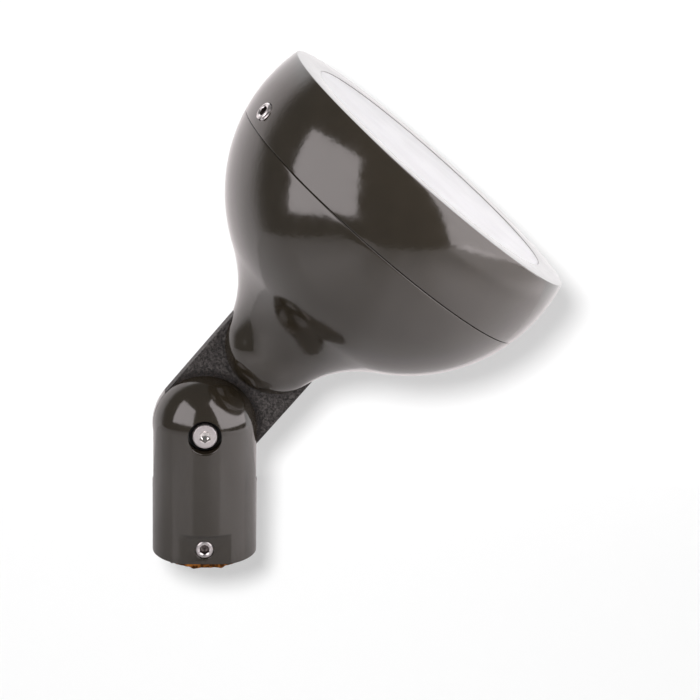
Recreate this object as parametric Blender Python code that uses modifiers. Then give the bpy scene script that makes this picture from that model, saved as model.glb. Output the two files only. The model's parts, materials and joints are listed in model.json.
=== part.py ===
"""A wall washer light: a bowl-shaped flood head on a tilting arm, in the slot of a swivelling knuckle.

Metres, +Z up. The origin is the centre of the stem bushing's lower face, where the light screws on
its stem. The knuckle swivels about Z. The head tilts about the pivot bolt, which lies along Y, and
its axis leans towards +X. Head pieces are modelled in the head's own frame: origin on the pivot,
+Z along the head's axis, +X on the side that faces down at rest, and hang from the empty head_tilt.
"""

import math

import bmesh
import bpy
from mathutils import Matrix, Vector

MM = 0.001
GAP = 0.3 * MM

# Stem bushing
BUSHING_RADIUS = 13.4 * MM
BUSHING_BORE = 9.6 * MM
BUSHING_HEIGHT = 15.0 * MM
BUSHING_GROOVE_DEPTH = 1.4 * MM
NOTCH_COUNT = 9
NOTCH_WIDTH = 3.4 * MM
NOTCH_DEPTH = 1.1 * MM

# Knuckle
KNUCKLE_FOOT = 2.4 * MM
KNUCKLE_RADIUS = 19.4 * MM
PIVOT_HEIGHT = KNUCKLE_FOOT + 49.5 * MM
SLOT_WIDTH = 7.2 * MM
SLOT_DEPTH = 20.4 * MM
SOCKET_RADIUS = 13.8 * MM
PAD_DISTANCE = 16.7 * MM
PAD_HEIGHT = 11.9 * MM
WIRE_HOLE_RADIUS = 4.5 * MM
WIRE_HOLE_COUNTERBORE = 6.9 * MM
STEM_SCREW_HEIGHT = KNUCKLE_FOOT + 5.5 * MM

# Pivot bolt, its washer and nut: distances from the knuckle's axis, along Y
BOLT_RADIUS = 2.35 * MM
BOLT_HOLE_RADIUS = 2.7 * MM
BOLT_HEAD_RADIUS = 4.6 * MM
BOLT_HEAD_HEIGHT = 2.6 * MM
BOLT_HEAD_SEAT = 15.0 * MM
BOLT_SOCKET = 3.6 * MM
BOLT_SOCKET_DEPTH = 1.7 * MM
BOLT_END = 17.0 * MM
COUNTERBORE_RADIUS = 6.2 * MM
COUNTERBORE_FLOOR = 13.6 * MM
PIVOT_WASHER_THICKNESS = 0.8 * MM
NUT_ACROSS_FLATS = 9.5 * MM
NUT_THICKNESS = 3.2 * MM
NUT_POCKET_FLOOR = 13.0 * MM

# Set screws with a quarter inch thread
SET_SCREW_RADIUS = 3.175 * MM
SET_SCREW_SOCKET = 3.2 * MM
SET_SCREW_HOLE = SET_SCREW_RADIUS + GAP

# Tilting arm
REST_TILT = math.radians(50.1)
ARM_HALF_WIDTH = 19.4 * MM
ARM_THICKNESS = 6.4 * MM
ARM_TAIL = 39.4 * MM
WIREWAY_RADIUS = 2.0 * MM
WIREWAY_EXIT = Vector((14.0 * MM, 0.0, -13.0 * MM))
FRICTION_WASHER_RADIUS = 6.6 * MM
FRICTION_WASHER_THICKNESS = 0.8 * MM

# Head: stations along its axis from the pivot, and radii
NECK_CENTRE = 40.5 * MM
NECK_RADIUS = 19.2 * MM
NECK_SLOT_WIDTH = 7.0 * MM
BOWL_CENTRE = 111.2 * MM
BOWL_HALF_LENGTH = 63.3 * MM
BOWL_RADIUS = 65.4 * MM
BOWL_WALL = 3.0 * MM
FLARE_START = 35.6 * MM
FLARE_END = 59.2 * MM
HOUSING_FLOOR = 45.7 * MM
HOUSING_FLOOR_RADIUS = 16.8 * MM
INNER_BOWL_START = 63.2 * MM
SPIGOT_ROOT = 95.0 * MM
SEAM = 98.7 * MM
SPIGOT_END = 110.2 * MM
SPIGOT_OUTER = 60.9 * MM
SPIGOT_INNER = 56.8 * MM
SEAL_GROOVE_RADIUS = 59.4 * MM
SEAL_GROOVE_BACK = 99.3 * MM
SEAL_GROOVE_FRONT = 101.2 * MM
SCREW_GROOVE_RADIUS = 59.3 * MM
SCREW_GROOVE_HALF_WIDTH = 3.5 * MM
RIM = 126.2 * MM
GLAND_HOLE_RADIUS = 4.0 * MM

# Two screws that hold the arm's tail in the neck
ARM_SCREW_OFFSET = 10.0 * MM
ARM_SCREW_RADIUS = 1.9 * MM
ARM_SCREW_HEAD_RADIUS = 3.4 * MM
ARM_SCREW_HEAD_HEIGHT = 2.2 * MM
ARM_SCREW_END = 29.5 * MM
ARM_SCREW_HOLE_END = 29.0 * MM

# Front ring and lens
RING_BORE = 61.3 * MM
RING_INNER = 56.0 * MM
RING_STEP = 114.6 * MM
LENS_LEDGE_BACK = 116.8 * MM
LENS_LEDGE_FRONT = 120.0 * MM
LENS_LEDGE_RADIUS = 47.5 * MM
LENS_RADIUS = 52.0 * MM
LENS_THICKNESS = 4.0 * MM
LENS_RECESS = 0.6 * MM
RING_SCREW_STATION = 105.5 * MM
RING_SCREW_ANGLES = (math.radians(198.9), math.radians(18.9))
RING_SCREW_TIP = 59.6 * MM
RING_SCREW_FACE = 66.2 * MM

# Lamp inside the head
LAMP_FLANGE_BACK = 112.3 * MM
LAMP_FLANGE_FRONT = 114.2 * MM
LAMP_FLANGE_RADIUS = 57.2 * MM
LAMP_GLASS_RADIUS = 54.1 * MM
REFLECTOR_VERTEX = 66.0 * MM
REFLECTOR_MOUTH = 112.0 * MM
REFLECTOR_MOUTH_RADIUS = 53.0 * MM
REFLECTOR_WALL = 1.6 * MM
REFLECTOR_NECK_RADIUS = 13.0 * MM
HEAT_SINK_BACK = 53.5 * MM
HEAT_SINK_FRONT = 67.0 * MM
HEAT_SINK_RADIUS = 21.0 * MM
HEAT_SINK_CORE = 13.0 * MM
FIN_COUNT = 16
LAMP_BASE_BACK = 50.2 * MM
LAMP_BASE_FRONT = 53.2 * MM
TERMINAL_OFFSET = 9.0 * MM
LUG_THICKNESS = 0.8 * MM
LEAD_RADIUS = 1.0 * MM
LEAD_OFFSET = 1.3 * MM
TERMINAL_HOLE_RADIUS = 1.9 * MM
LUG_TIP = 4.0 * MM
SEAT_OUTER = 60.6 * MM
SEAT_INNER = 55.2 * MM

FINE_STEPS = 48
MEDIUM_STEPS = 32
SMALL_STEPS = 16


def clear_scene():
    for obj in list(bpy.data.objects):
        bpy.data.objects.remove(obj, do_unlink=True)


def new_collection(name):
    collection = bpy.data.collections.new(name)
    bpy.context.scene.collection.children.link(collection)
    return collection


def make_material(name, colour, roughness, metallic):
    material = bpy.data.materials.new(name)
    material.use_nodes = True
    shader = material.node_tree.nodes["Principled BSDF"]
    shader.inputs["Base Color"].default_value = (*colour, 1.0)
    shader.inputs["Roughness"].default_value = roughness
    shader.inputs["Metallic"].default_value = metallic
    return material


clear_scene()
PARTS = new_collection("wall_washer_light")
CUTTERS = new_collection("cutters")
BRONZE = make_material("bronze_coat", (0.075, 0.066, 0.052), 0.25, 0.3)
TEXTURED = make_material("textured_coat", (0.040, 0.037, 0.034), 0.7, 0.1)
STAINLESS = make_material("stainless", (0.72, 0.70, 0.69), 0.25, 1.0)
BRASS = make_material("brass", (0.55, 0.27, 0.05), 0.35, 1.0)
BLACK_NYLON = make_material("black_nylon", (0.012, 0.012, 0.012), 0.5, 0.0)
RUBBER = make_material("black_rubber", (0.02, 0.02, 0.02), 0.8, 0.0)
SILICONE = make_material("grey_silicone", (0.35, 0.35, 0.36), 0.6, 0.0)
GLASS = make_material("clear_glass", (0.90, 0.92, 0.93), 0.05, 0.0)
MIRROR = make_material("reflector_coat", (0.80, 0.80, 0.80), 0.12, 1.0)
ALUMINIUM = make_material("bare_aluminium", (0.60, 0.60, 0.61), 0.45, 1.0)
BOARD = make_material("white_board", (0.80, 0.80, 0.78), 0.5, 0.0)
PHOSPHOR = make_material("led_phosphor", (0.85, 0.65, 0.15), 0.4, 0.0)
CERAMIC = make_material("ivory_ceramic", (0.75, 0.70, 0.60), 0.5, 0.0)
RED_LEAD = make_material("red_lead", (0.45, 0.03, 0.02), 0.5, 0.0)


def add_object(name, mesh, material, parent=None, location=(0, 0, 0), rotation=(0, 0, 0)):
    """Adds a sub-part. One that starts with faces is shaded smooth, with its edges kept sharp."""
    mesh.name = name
    if mesh.polygons:
        mesh.shade_smooth()
        mesh.set_sharp_from_angle(angle=math.radians(30))
    obj = bpy.data.objects.new(name, mesh)
    PARTS.objects.link(obj)
    obj.parent = parent
    obj.location = location
    obj.rotation_euler = rotation
    if not mesh.materials:
        mesh.materials.append(material)
    return obj


def add_cutter(name, mesh, parent=None, location=(0, 0, 0), rotation=(0, 0, 0)):
    obj = bpy.data.objects.new(name, mesh)
    CUTTERS.objects.link(obj)
    obj.parent = parent
    obj.location = location
    obj.rotation_euler = rotation
    obj.hide_render = True
    obj.display_type = "WIRE"
    return obj


def cut(target, cutter):
    """Cuts the cutter's shape out of the target."""
    modifier = target.modifiers.new("Cut " + cutter.name, "BOOLEAN")
    modifier.operation = "DIFFERENCE"
    modifier.solver = "EXACT"
    modifier.object = cutter


def profile_mesh(name, profile, closed):
    """An outline of (radius, height) points in the XZ plane, for a Screw modifier."""
    mesh = bpy.data.meshes.new(name)
    points = [(radius, 0.0, height) for radius, height in profile]
    edges = [(index, index + 1) for index in range(len(points) - 1)]
    if closed:
        edges.append((len(points) - 1, 0))
    mesh.from_pydata(points, edges, [])
    return mesh


def spin(obj, steps):
    """Turns the object's outline about its own Z axis."""
    screw = obj.modifiers.new("Turn", "SCREW")
    screw.steps = steps
    screw.render_steps = steps
    screw.use_merge_vertices = True
    screw.merge_threshold = 0.00001
    screw.use_smooth_shade = True


def turned(name, profile, material, steps=MEDIUM_STEPS, closed=False, **where):
    """A turned piece. Its profile runs down the outer side, and a closed one comes back up the bore."""
    obj = add_object(name, profile_mesh(name, profile, closed), material, **where)
    spin(obj, steps)
    return obj


def turned_cutter(name, profile, steps=MEDIUM_STEPS, closed=False, **where):
    obj = add_cutter(name, profile_mesh(name, profile, closed), **where)
    spin(obj, steps)
    return obj


def ring_profile(inner, outer, bottom, top):
    """The outline of a plain ring."""
    return [(outer, top), (outer, bottom), (inner, bottom), (inner, top)]


def disc_profile(radius, bottom, top, chamfer=0.0):
    """The outline of a solid disc, with its front edge chamfered."""
    points = [(0.0, top), (radius - chamfer, top), (radius, top - chamfer), (radius, bottom), (0.0, bottom)]
    return points if chamfer else points[:2] + points[3:]


def rod_mesh(name, radius, start, end, sides=SMALL_STEPS):
    """A rod between two points."""
    start = Vector(start)
    end = Vector(end)
    along = end - start
    turn = along.to_track_quat("Z", "Y").to_matrix().to_4x4()
    place = Matrix.Translation((start + end) / 2) @ turn
    shape = bmesh.new()
    bmesh.ops.create_cone(
        shape,
        cap_ends=True,
        segments=sides,
        radius1=radius,
        radius2=radius,
        depth=along.length,
        matrix=place,
    )
    mesh = bpy.data.meshes.new(name)
    shape.to_mesh(mesh)
    shape.free()
    return mesh


def box_mesh(name, low, high):
    """A box from its low corner to its high corner."""
    low = Vector(low)
    high = Vector(high)
    size = Matrix.Diagonal((*(high - low), 1.0))
    shape = bmesh.new()
    bmesh.ops.create_cube(shape, size=1.0, matrix=Matrix.Translation((low + high) / 2) @ size)
    mesh = bpy.data.meshes.new(name)
    shape.to_mesh(mesh)
    shape.free()
    return mesh


def hex_radius(across_flats):
    """The corner radius of a hexagon."""
    return across_flats / 2 / math.cos(math.radians(30))


def outline_mesh(name, outlines, thickness):
    """A flat plate in the XY plane, from one outer outline and any inner ones."""
    curve = bpy.data.curves.new(name, "CURVE")
    curve.dimensions = "2D"
    curve.fill_mode = "BOTH"
    curve.extrude = thickness / 2
    for points in outlines:
        spline = curve.splines.new("POLY")
        spline.points.add(len(points) - 1)
        for point, (x, y) in zip(spline.points, points):
            point.co = (x, y, 0.0, 1.0)
        spline.use_cyclic_u = True
    return mesh_from_curve(name, curve)


def mesh_from_curve(name, curve):
    """The curve as a closed mesh. Its caps are loose until they are welded."""
    guide = bpy.data.objects.new(name + "_guide", curve)
    bpy.context.scene.collection.objects.link(guide)
    bpy.context.view_layer.update()
    graph = bpy.context.evaluated_depsgraph_get()
    mesh = bpy.data.meshes.new_from_object(guide.evaluated_get(graph))
    shape = bmesh.new()
    shape.from_mesh(mesh)
    bmesh.ops.remove_doubles(shape, verts=shape.verts, dist=0.000001)
    bmesh.ops.recalc_face_normals(shape, faces=shape.faces)
    shape.to_mesh(mesh)
    shape.free()
    bpy.data.objects.remove(guide, do_unlink=True)
    return mesh


def circle_points(radius, count, centre=(0.0, 0.0), start=0.0, sweep=2 * math.pi):
    """Points along an arc, or a whole circle without its repeated last point."""
    whole = abs(sweep) >= 2 * math.pi - 1e-9
    steps = count if whole else count - 1
    points = []
    for index in range(count):
        angle = start + sweep * index / steps
        points.append((centre[0] + radius * math.cos(angle), centre[1] + radius * math.sin(angle)))
    return points


ALONG_MINUS_Y = (math.radians(90), 0.0, 0.0)
ALONG_PLUS_Y = (math.radians(-90), 0.0, 0.0)


def socket_screw(name, profile, socket, socket_depth, material, **where):
    """A turned screw whose top, at its highest point, has a hex socket."""
    screw = turned(name, profile, material, SMALL_STEPS, **where)
    top = profile[0][1]
    tool = rod_mesh(name + "_socket", hex_radius(socket), (0, 0, top - socket_depth), (0, 0, top + MM), 6)
    cut(screw, add_cutter(name + "_socket", tool, **where))
    return screw


def set_screw_profile(length):
    """A headless screw from z = 0 down, with a chamfered point."""
    chamfer = 0.5 * MM
    return [
        (0.0, 0.0),
        (SET_SCREW_RADIUS - chamfer / 2, 0.0),
        (SET_SCREW_RADIUS, -chamfer / 2),
        (SET_SCREW_RADIUS, -length + chamfer),
        (SET_SCREW_RADIUS - chamfer, -length),
        (0.0, -length),
    ]


def button_head_profile(radius, height, seat, shank_radius, end):
    """A button head above its seat, and a shank down to its end."""
    crown = [(0.54, 1.0), (0.74, 0.9), (0.90, 0.62), (1.0, 0.22), (1.0, 0.0)]
    head = [(radius * across, seat + height * up) for across, up in crown]
    return [(0.0, seat + height)] + head + [(shank_radius, seat), (shank_radius, end), (0.0, end)]


def make_stem_bushing():
    """Brass bushing with a groove for the set screw's tip and a notched lower edge."""
    groove = BUSHING_RADIUS - BUSHING_GROOVE_DEPTH
    reach = SET_SCREW_HOLE + GAP
    chamfer = 0.6 * MM
    profile = [
        (BUSHING_RADIUS - chamfer, BUSHING_HEIGHT),
        (BUSHING_RADIUS, BUSHING_HEIGHT - chamfer),
        (BUSHING_RADIUS, STEM_SCREW_HEIGHT + reach),
        (groove, STEM_SCREW_HEIGHT + reach),
        (groove, STEM_SCREW_HEIGHT - reach),
        (BUSHING_RADIUS, STEM_SCREW_HEIGHT - reach),
        (BUSHING_RADIUS, 0.0),
        (BUSHING_BORE + chamfer, 0.0),
        (BUSHING_BORE, chamfer),
        (BUSHING_BORE, BUSHING_HEIGHT),
    ]
    bushing = turned("stem_bushing", profile, BRASS, MEDIUM_STEPS, closed=True)
    for index in range(NOTCH_COUNT):
        notch = box_mesh(
            "notch",
            (BUSHING_BORE - 2 * MM, -NOTCH_WIDTH / 2, -MM),
            (BUSHING_RADIUS + 2 * MM, NOTCH_WIDTH / 2, NOTCH_DEPTH),
        )
        angle = 2 * math.pi * index / NOTCH_COUNT
        cut(bushing, add_cutter(f"notch_{index + 1}", notch, rotation=(0, 0, angle)))


def dome_profile():
    """The knuckle's outline: a dome round the pivot on a cylinder, with the bushing's socket below."""
    rings = 10
    points = []
    for index in range(rings + 1):
        angle = math.radians(90) * (1 - index / rings)
        points.append((KNUCKLE_RADIUS * math.cos(angle), PIVOT_HEIGHT + KNUCKLE_RADIUS * math.sin(angle)))
    points[0] = (0.0, PIVOT_HEIGHT + KNUCKLE_RADIUS)
    chamfer = 0.4 * MM
    socket_top = BUSHING_HEIGHT + GAP
    return points + [
        (KNUCKLE_RADIUS, KNUCKLE_FOOT + chamfer),
        (KNUCKLE_RADIUS - chamfer, KNUCKLE_FOOT),
        (SOCKET_RADIUS, KNUCKLE_FOOT),
        (SOCKET_RADIUS, socket_top),
        (0.0, socket_top),
    ]


def make_knuckle_body():
    """Domed fork: slot for the arm, pivot bolt holes, flat pad, set screw hole and wire hole."""
    body = turned("knuckle_body", dome_profile(), BRONZE, FINE_STEPS, parent=KNUCKLE)
    reach = KNUCKLE_RADIUS + 5 * MM
    slot_floor = PIVOT_HEIGHT - SLOT_DEPTH
    socket_top = BUSHING_HEIGHT + GAP
    slot_corner = (reach, SLOT_WIDTH / 2, PIVOT_HEIGHT + reach)
    slot = box_mesh("slot", (-reach, -SLOT_WIDTH / 2, slot_floor), slot_corner)
    cut(body, add_cutter("slot", slot, parent=KNUCKLE))
    pad = box_mesh("pad", (-reach, -reach, 0.0), (reach, -PAD_DISTANCE, KNUCKLE_FOOT + PAD_HEIGHT))
    cut(body, add_cutter("pad", pad, parent=KNUCKLE))
    at_pivot = (0.0, 0.0, PIVOT_HEIGHT)
    bolt_hole = rod_mesh("bolt_hole", BOLT_HOLE_RADIUS, (0, -reach, 0), (0, reach, 0))
    cut(body, add_cutter("bolt_hole", bolt_hole, parent=KNUCKLE, location=at_pivot))
    counterbore = rod_mesh(
        "counterbore", COUNTERBORE_RADIUS, (0, -reach, 0), (0, -COUNTERBORE_FLOOR, 0), MEDIUM_STEPS
    )
    cut(body, add_cutter("counterbore", counterbore, parent=KNUCKLE, location=at_pivot))
    pocket_radius = hex_radius(NUT_ACROSS_FLATS + 2 * GAP)
    pocket = rod_mesh("nut_pocket", pocket_radius, (0, NUT_POCKET_FLOOR, 0), (0, reach, 0), 6)
    cut(body, add_cutter("nut_pocket", pocket, parent=KNUCKLE, location=at_pivot))
    screw_hole = rod_mesh("stem_screw_hole", SET_SCREW_HOLE, (0, -reach, 0), (0, -SOCKET_RADIUS / 2, 0))
    cut(body, add_cutter("stem_screw_hole", screw_hole, parent=KNUCKLE, location=(0, 0, STEM_SCREW_HEIGHT)))
    wire_profile = [
        (0.0, slot_floor + MM),
        (WIRE_HOLE_RADIUS, slot_floor + MM),
        (WIRE_HOLE_RADIUS, socket_top + 1.5 * MM),
        (WIRE_HOLE_COUNTERBORE, socket_top + 1.5 * MM),
        (WIRE_HOLE_COUNTERBORE, socket_top - MM),
        (0.0, socket_top - MM),
    ]
    cut(body, turned_cutter("wire_hole", wire_profile, SMALL_STEPS, parent=KNUCKLE))


def make_wire_grommet():
    """Rubber bush that lines the wire hole, its flange in the counterbore above the bushing."""
    bottom = BUSHING_HEIGHT + GAP + 0.1 * MM
    flange_top = BUSHING_HEIGHT + 1.5 * MM
    top = PIVOT_HEIGHT - SLOT_DEPTH - 0.4 * MM
    bore = 2.8 * MM
    profile = [
        (WIRE_HOLE_RADIUS - GAP, top),
        (WIRE_HOLE_RADIUS - GAP, flange_top),
        (WIRE_HOLE_COUNTERBORE - GAP, flange_top),
        (WIRE_HOLE_COUNTERBORE - GAP, bottom),
        (bore, bottom),
        (bore, top),
    ]
    turned("wire_grommet", profile, RUBBER, SMALL_STEPS, closed=True, parent=KNUCKLE)


def make_stem_set_screw():
    """Socket set screw through the flat pad, its tip in the bushing's groove."""
    face = PAD_DISTANCE - 0.2 * MM
    tip = BUSHING_RADIUS - BUSHING_GROOVE_DEPTH + GAP
    socket_screw(
        "stem_set_screw",
        set_screw_profile(face - tip),
        SET_SCREW_SOCKET,
        2.2 * MM,
        STAINLESS,
        parent=KNUCKLE,
        location=(0.0, -face, STEM_SCREW_HEIGHT),
        rotation=ALONG_MINUS_Y,
    )


def make_pivot_bolt():
    """Button head bolt, the washer under its head and the nut in the far pocket."""
    at_pivot = {"parent": KNUCKLE, "location": (0.0, 0.0, PIVOT_HEIGHT)}
    facing = {"rotation": ALONG_MINUS_Y, **at_pivot}
    profile = button_head_profile(BOLT_HEAD_RADIUS, BOLT_HEAD_HEIGHT, BOLT_HEAD_SEAT, BOLT_RADIUS, -BOLT_END)
    socket_screw("pivot_bolt", profile, BOLT_SOCKET, BOLT_SOCKET_DEPTH, STAINLESS, **facing)
    washer_back = COUNTERBORE_FLOOR + GAP
    washer_front = washer_back + PIVOT_WASHER_THICKNESS
    washer = ring_profile(BOLT_HOLE_RADIUS, COUNTERBORE_RADIUS - GAP, washer_back, washer_front)
    turned("pivot_washer", washer, BLACK_NYLON, MEDIUM_STEPS, closed=True, **facing)
    nut_start = NUT_POCKET_FLOOR + GAP
    nut_end = (0, nut_start + NUT_THICKNESS, 0)
    nut_mesh = rod_mesh("pivot_nut", hex_radius(NUT_ACROSS_FLATS), (0, nut_start, 0), nut_end, 6)
    nut = add_object("pivot_nut", nut_mesh, STAINLESS, **at_pivot)
    hole = rod_mesh("nut_hole", BOLT_HOLE_RADIUS, (0, nut_start - MM, 0), (0, BOLT_END + 2 * MM, 0))
    cut(nut, add_cutter("nut_hole", hole, **at_pivot))


def arm_outline():
    """Straight sides from the tail, and a half circle about the pivot."""
    round_end = circle_points(ARM_HALF_WIDTH, 33, start=math.pi, sweep=math.pi)
    return [(ARM_HALF_WIDTH, ARM_TAIL), (-ARM_HALF_WIDTH, ARM_TAIL)] + round_end


def make_tilt_arm():
    """Flat arm in the head's XZ plane, with washer recesses, a wireway and two screw holes."""
    pivot_hole = circle_points(BOLT_HOLE_RADIUS, SMALL_STEPS)
    mesh = outline_mesh("tilt_arm", [arm_outline(), pivot_hole], ARM_THICKNESS)
    arm = add_object("tilt_arm", mesh, TEXTURED, parent=HEAD, rotation=ALONG_MINUS_Y)
    recess_floor = ARM_THICKNESS / 2 - FRICTION_WASHER_THICKNESS - 0.2 * MM
    recess_radius = FRICTION_WASHER_RADIUS + 0.4 * MM
    for name, side in (("near", -1), ("far", 1)):
        recess = rod_mesh(
            "recess", recess_radius, (0, side * recess_floor, 0), (0, side * ARM_THICKNESS, 0), MEDIUM_STEPS
        )
        cut(arm, add_cutter(f"recess_{name}", recess, parent=HEAD))
    tail = Vector((0.0, 0.0, ARM_TAIL))
    along = (WIREWAY_EXIT - tail).normalized()
    wireway = rod_mesh("wireway", WIREWAY_RADIUS, tail - along * 4 * MM, WIREWAY_EXIT + along * 8 * MM)
    cut(arm, add_cutter("wireway", wireway, parent=HEAD))
    for index, side in enumerate((-1, 1)):
        x = side * ARM_SCREW_OFFSET
        low = (x, 0, ARM_SCREW_HOLE_END)
        hole = rod_mesh("arm_screw_hole", ARM_SCREW_RADIUS + GAP, low, (x, 0, ARM_TAIL + MM))
        cut(arm, add_cutter(f"arm_screw_hole_{index + 1}", hole, parent=HEAD))


def make_friction_washers():
    """One in each recess of the arm, standing 0.1 mm proud towards the knuckle's cheek."""
    outer_face = SLOT_WIDTH / 2 - GAP
    inner_face = outer_face - FRICTION_WASHER_THICKNESS
    for name, turn in (("near", ALONG_MINUS_Y), ("far", ALONG_PLUS_Y)):
        profile = ring_profile(BOLT_HOLE_RADIUS, FRICTION_WASHER_RADIUS, inner_face, outer_face)
        turned(
            f"friction_washer_{name}",
            profile,
            BLACK_NYLON,
            SMALL_STEPS,
            closed=True,
            parent=HEAD,
            rotation=turn,
        )


def bowl_radius(station, wall=0.0):
    """Radius of the bowl's ellipse at a station along the head's axis."""
    reach = (station - BOWL_CENTRE) / (BOWL_HALF_LENGTH - wall)
    return (BOWL_RADIUS - wall) * math.sqrt(max(0.0, 1.0 - reach * reach))


def bowl_slope(station):
    reach = BOWL_CENTRE - station
    squared = BOWL_HALF_LENGTH**2 - reach**2
    return BOWL_RADIUS / BOWL_HALF_LENGTH * reach / math.sqrt(squared)


def bowl_points(start, end, count, wall=0.0):
    """Points on the bowl's ellipse between two stations, both ends included."""
    stations = [start + (end - start) * index / (count - 1) for index in range(count)]
    return [(bowl_radius(station, wall), station) for station in stations]


def flare_points(count):
    """The hollow curve that carries the bowl into the neck, from the bowl's end down to the neck's."""
    length = FLARE_END - FLARE_START
    drop = NECK_CENTRE - FLARE_START
    neck_end = math.sqrt(NECK_RADIUS**2 - drop**2)
    neck_slope = drop / neck_end
    points = []
    for index in range(count):
        t = 1.0 - index / (count - 1)
        start_weight = 2 * t**3 - 3 * t**2 + 1
        start_tangent = t**3 - 2 * t**2 + t
        end_tangent = t**3 - t**2
        radius = start_weight * neck_end + (1 - start_weight) * bowl_radius(FLARE_END)
        radius += length * (start_tangent * neck_slope + end_tangent * bowl_slope(FLARE_END))
        points.append((radius, FLARE_START + length * t))
    return points


def neck_points(count):
    """The round end of the neck, from the flare to its tip on the axis."""
    first = math.acos((NECK_CENTRE - FLARE_START) / NECK_RADIUS)
    points = []
    for index in range(count):
        angle = first * (1 - index / (count - 1))
        points.append((NECK_RADIUS * math.sin(angle), NECK_CENTRE - NECK_RADIUS * math.cos(angle)))
    points[-1] = (0.0, NECK_CENTRE - NECK_RADIUS)
    return points


def housing_profile():
    """From the middle of the floor up the inside, over the spigot and down the outside."""
    inside = [(0.0, HOUSING_FLOOR), (HOUSING_FLOOR_RADIUS, HOUSING_FLOOR)]
    inside += bowl_points(INNER_BOWL_START, SPIGOT_ROOT - BOWL_WALL, 6, BOWL_WALL)
    inside += [(SPIGOT_INNER, SPIGOT_ROOT), (SPIGOT_INNER, SPIGOT_END)]
    groove_front = RING_SCREW_STATION + SCREW_GROOVE_HALF_WIDTH
    groove_back = RING_SCREW_STATION - SCREW_GROOVE_HALF_WIDTH
    spigot = [
        (SPIGOT_OUTER, SPIGOT_END),
        (SPIGOT_OUTER, groove_front),
        (SCREW_GROOVE_RADIUS, groove_front),
        (SCREW_GROOVE_RADIUS, groove_back),
        (SPIGOT_OUTER, groove_back),
        (SPIGOT_OUTER, SEAL_GROOVE_FRONT),
        (SEAL_GROOVE_RADIUS, SEAL_GROOVE_FRONT),
        (SEAL_GROOVE_RADIUS, SEAL_GROOVE_BACK),
        (SPIGOT_OUTER, SEAL_GROOVE_BACK),
        (SPIGOT_OUTER, SEAM),
    ]
    outside = bowl_points(SEAM, FLARE_END, 9)
    return inside + spigot + outside + flare_points(7)[1:] + neck_points(7)[1:]


def make_rear_housing():
    """Bowl with a slotted neck that takes the arm's tail.

    It is turned by half a step, so that no cut runs along an edge of the turned shape.
    """
    half_step = math.pi / FINE_STEPS
    profile = housing_profile()
    housing = turned("rear_housing", profile, BRONZE, FINE_STEPS, parent=HEAD, rotation=(0, 0, half_step))
    reach = NECK_RADIUS + 5 * MM
    slot = box_mesh(
        "neck_slot",
        (-reach, -NECK_SLOT_WIDTH / 2, NECK_CENTRE - reach),
        (reach, NECK_SLOT_WIDTH / 2, ARM_TAIL + GAP),
    )
    cut(housing, add_cutter("neck_slot", slot, parent=HEAD))
    floor_end = HOUSING_FLOOR + MM
    gland_hole = rod_mesh("gland_hole", GLAND_HOLE_RADIUS, (0, 0, ARM_TAIL), (0, 0, floor_end))
    cut(housing, add_cutter("gland_hole", gland_hole, parent=HEAD))
    for index, side in enumerate((-1, 1)):
        x = side * ARM_SCREW_OFFSET
        hole = rod_mesh("floor_hole", ARM_SCREW_RADIUS + GAP, (x, 0, ARM_TAIL), (x, 0, floor_end))
        cut(housing, add_cutter(f"floor_hole_{index + 1}", hole, parent=HEAD))


def make_arm_screws():
    """Two cap screws from the housing floor down into the arm's tail."""
    seat = HOUSING_FLOOR + GAP
    top = seat + ARM_SCREW_HEAD_HEIGHT
    profile = [
        (0.0, top),
        (ARM_SCREW_HEAD_RADIUS, top),
        (ARM_SCREW_HEAD_RADIUS, seat),
        (ARM_SCREW_RADIUS, seat),
        (ARM_SCREW_RADIUS, ARM_SCREW_END),
        (0.0, ARM_SCREW_END),
    ]
    for index, side in enumerate((-1, 1)):
        place = (side * ARM_SCREW_OFFSET, 0.0, 0.0)
        name = f"arm_screw_{index + 1}"
        socket_screw(name, profile, 2.5 * MM, 1.3 * MM, STAINLESS, parent=HEAD, location=place)


def make_neck_gland():
    """Rubber seal in the floor hole, with a bore for the two leads."""
    bottom = ARM_TAIL + 2 * GAP
    seat = HOUSING_FLOOR + GAP
    top = seat + 1.2 * MM
    flange = GLAND_HOLE_RADIUS + 1.4 * MM
    body = GLAND_HOLE_RADIUS - GAP
    bore = body - MM
    profile = [(flange, top), (flange, seat), (body, seat), (body, bottom), (bore, bottom), (bore, top)]
    turned("neck_gland", profile, RUBBER, SMALL_STEPS, closed=True, parent=HEAD)


def make_front_ring():
    """Flared front ring with a lens rabbet and two radial set screw holes."""
    ring_start = SEAM + GAP
    profile = bowl_points(RIM, ring_start, 7)
    profile += [
        (RING_BORE, ring_start),
        (RING_BORE, RING_STEP),
        (RING_INNER, RING_STEP),
        (RING_INNER, LENS_LEDGE_BACK),
        (LENS_LEDGE_RADIUS, LENS_LEDGE_BACK),
        (LENS_LEDGE_RADIUS, LENS_LEDGE_FRONT),
        (LENS_RADIUS + GAP, LENS_LEDGE_FRONT),
        (LENS_RADIUS + GAP, RIM),
    ]
    ring = turned("front_ring", profile, BRONZE, FINE_STEPS, closed=True, parent=HEAD)
    for index, angle in enumerate(RING_SCREW_ANGLES):
        hole = rod_mesh("ring_hole", SET_SCREW_HOLE, (RING_INNER, 0, 0), (BOWL_RADIUS + 5 * MM, 0, 0))
        where = {"parent": HEAD, "location": (0, 0, RING_SCREW_STATION), "rotation": (0, 0, angle)}
        cut(ring, add_cutter(f"ring_hole_{index + 1}", hole, **where))


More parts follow.
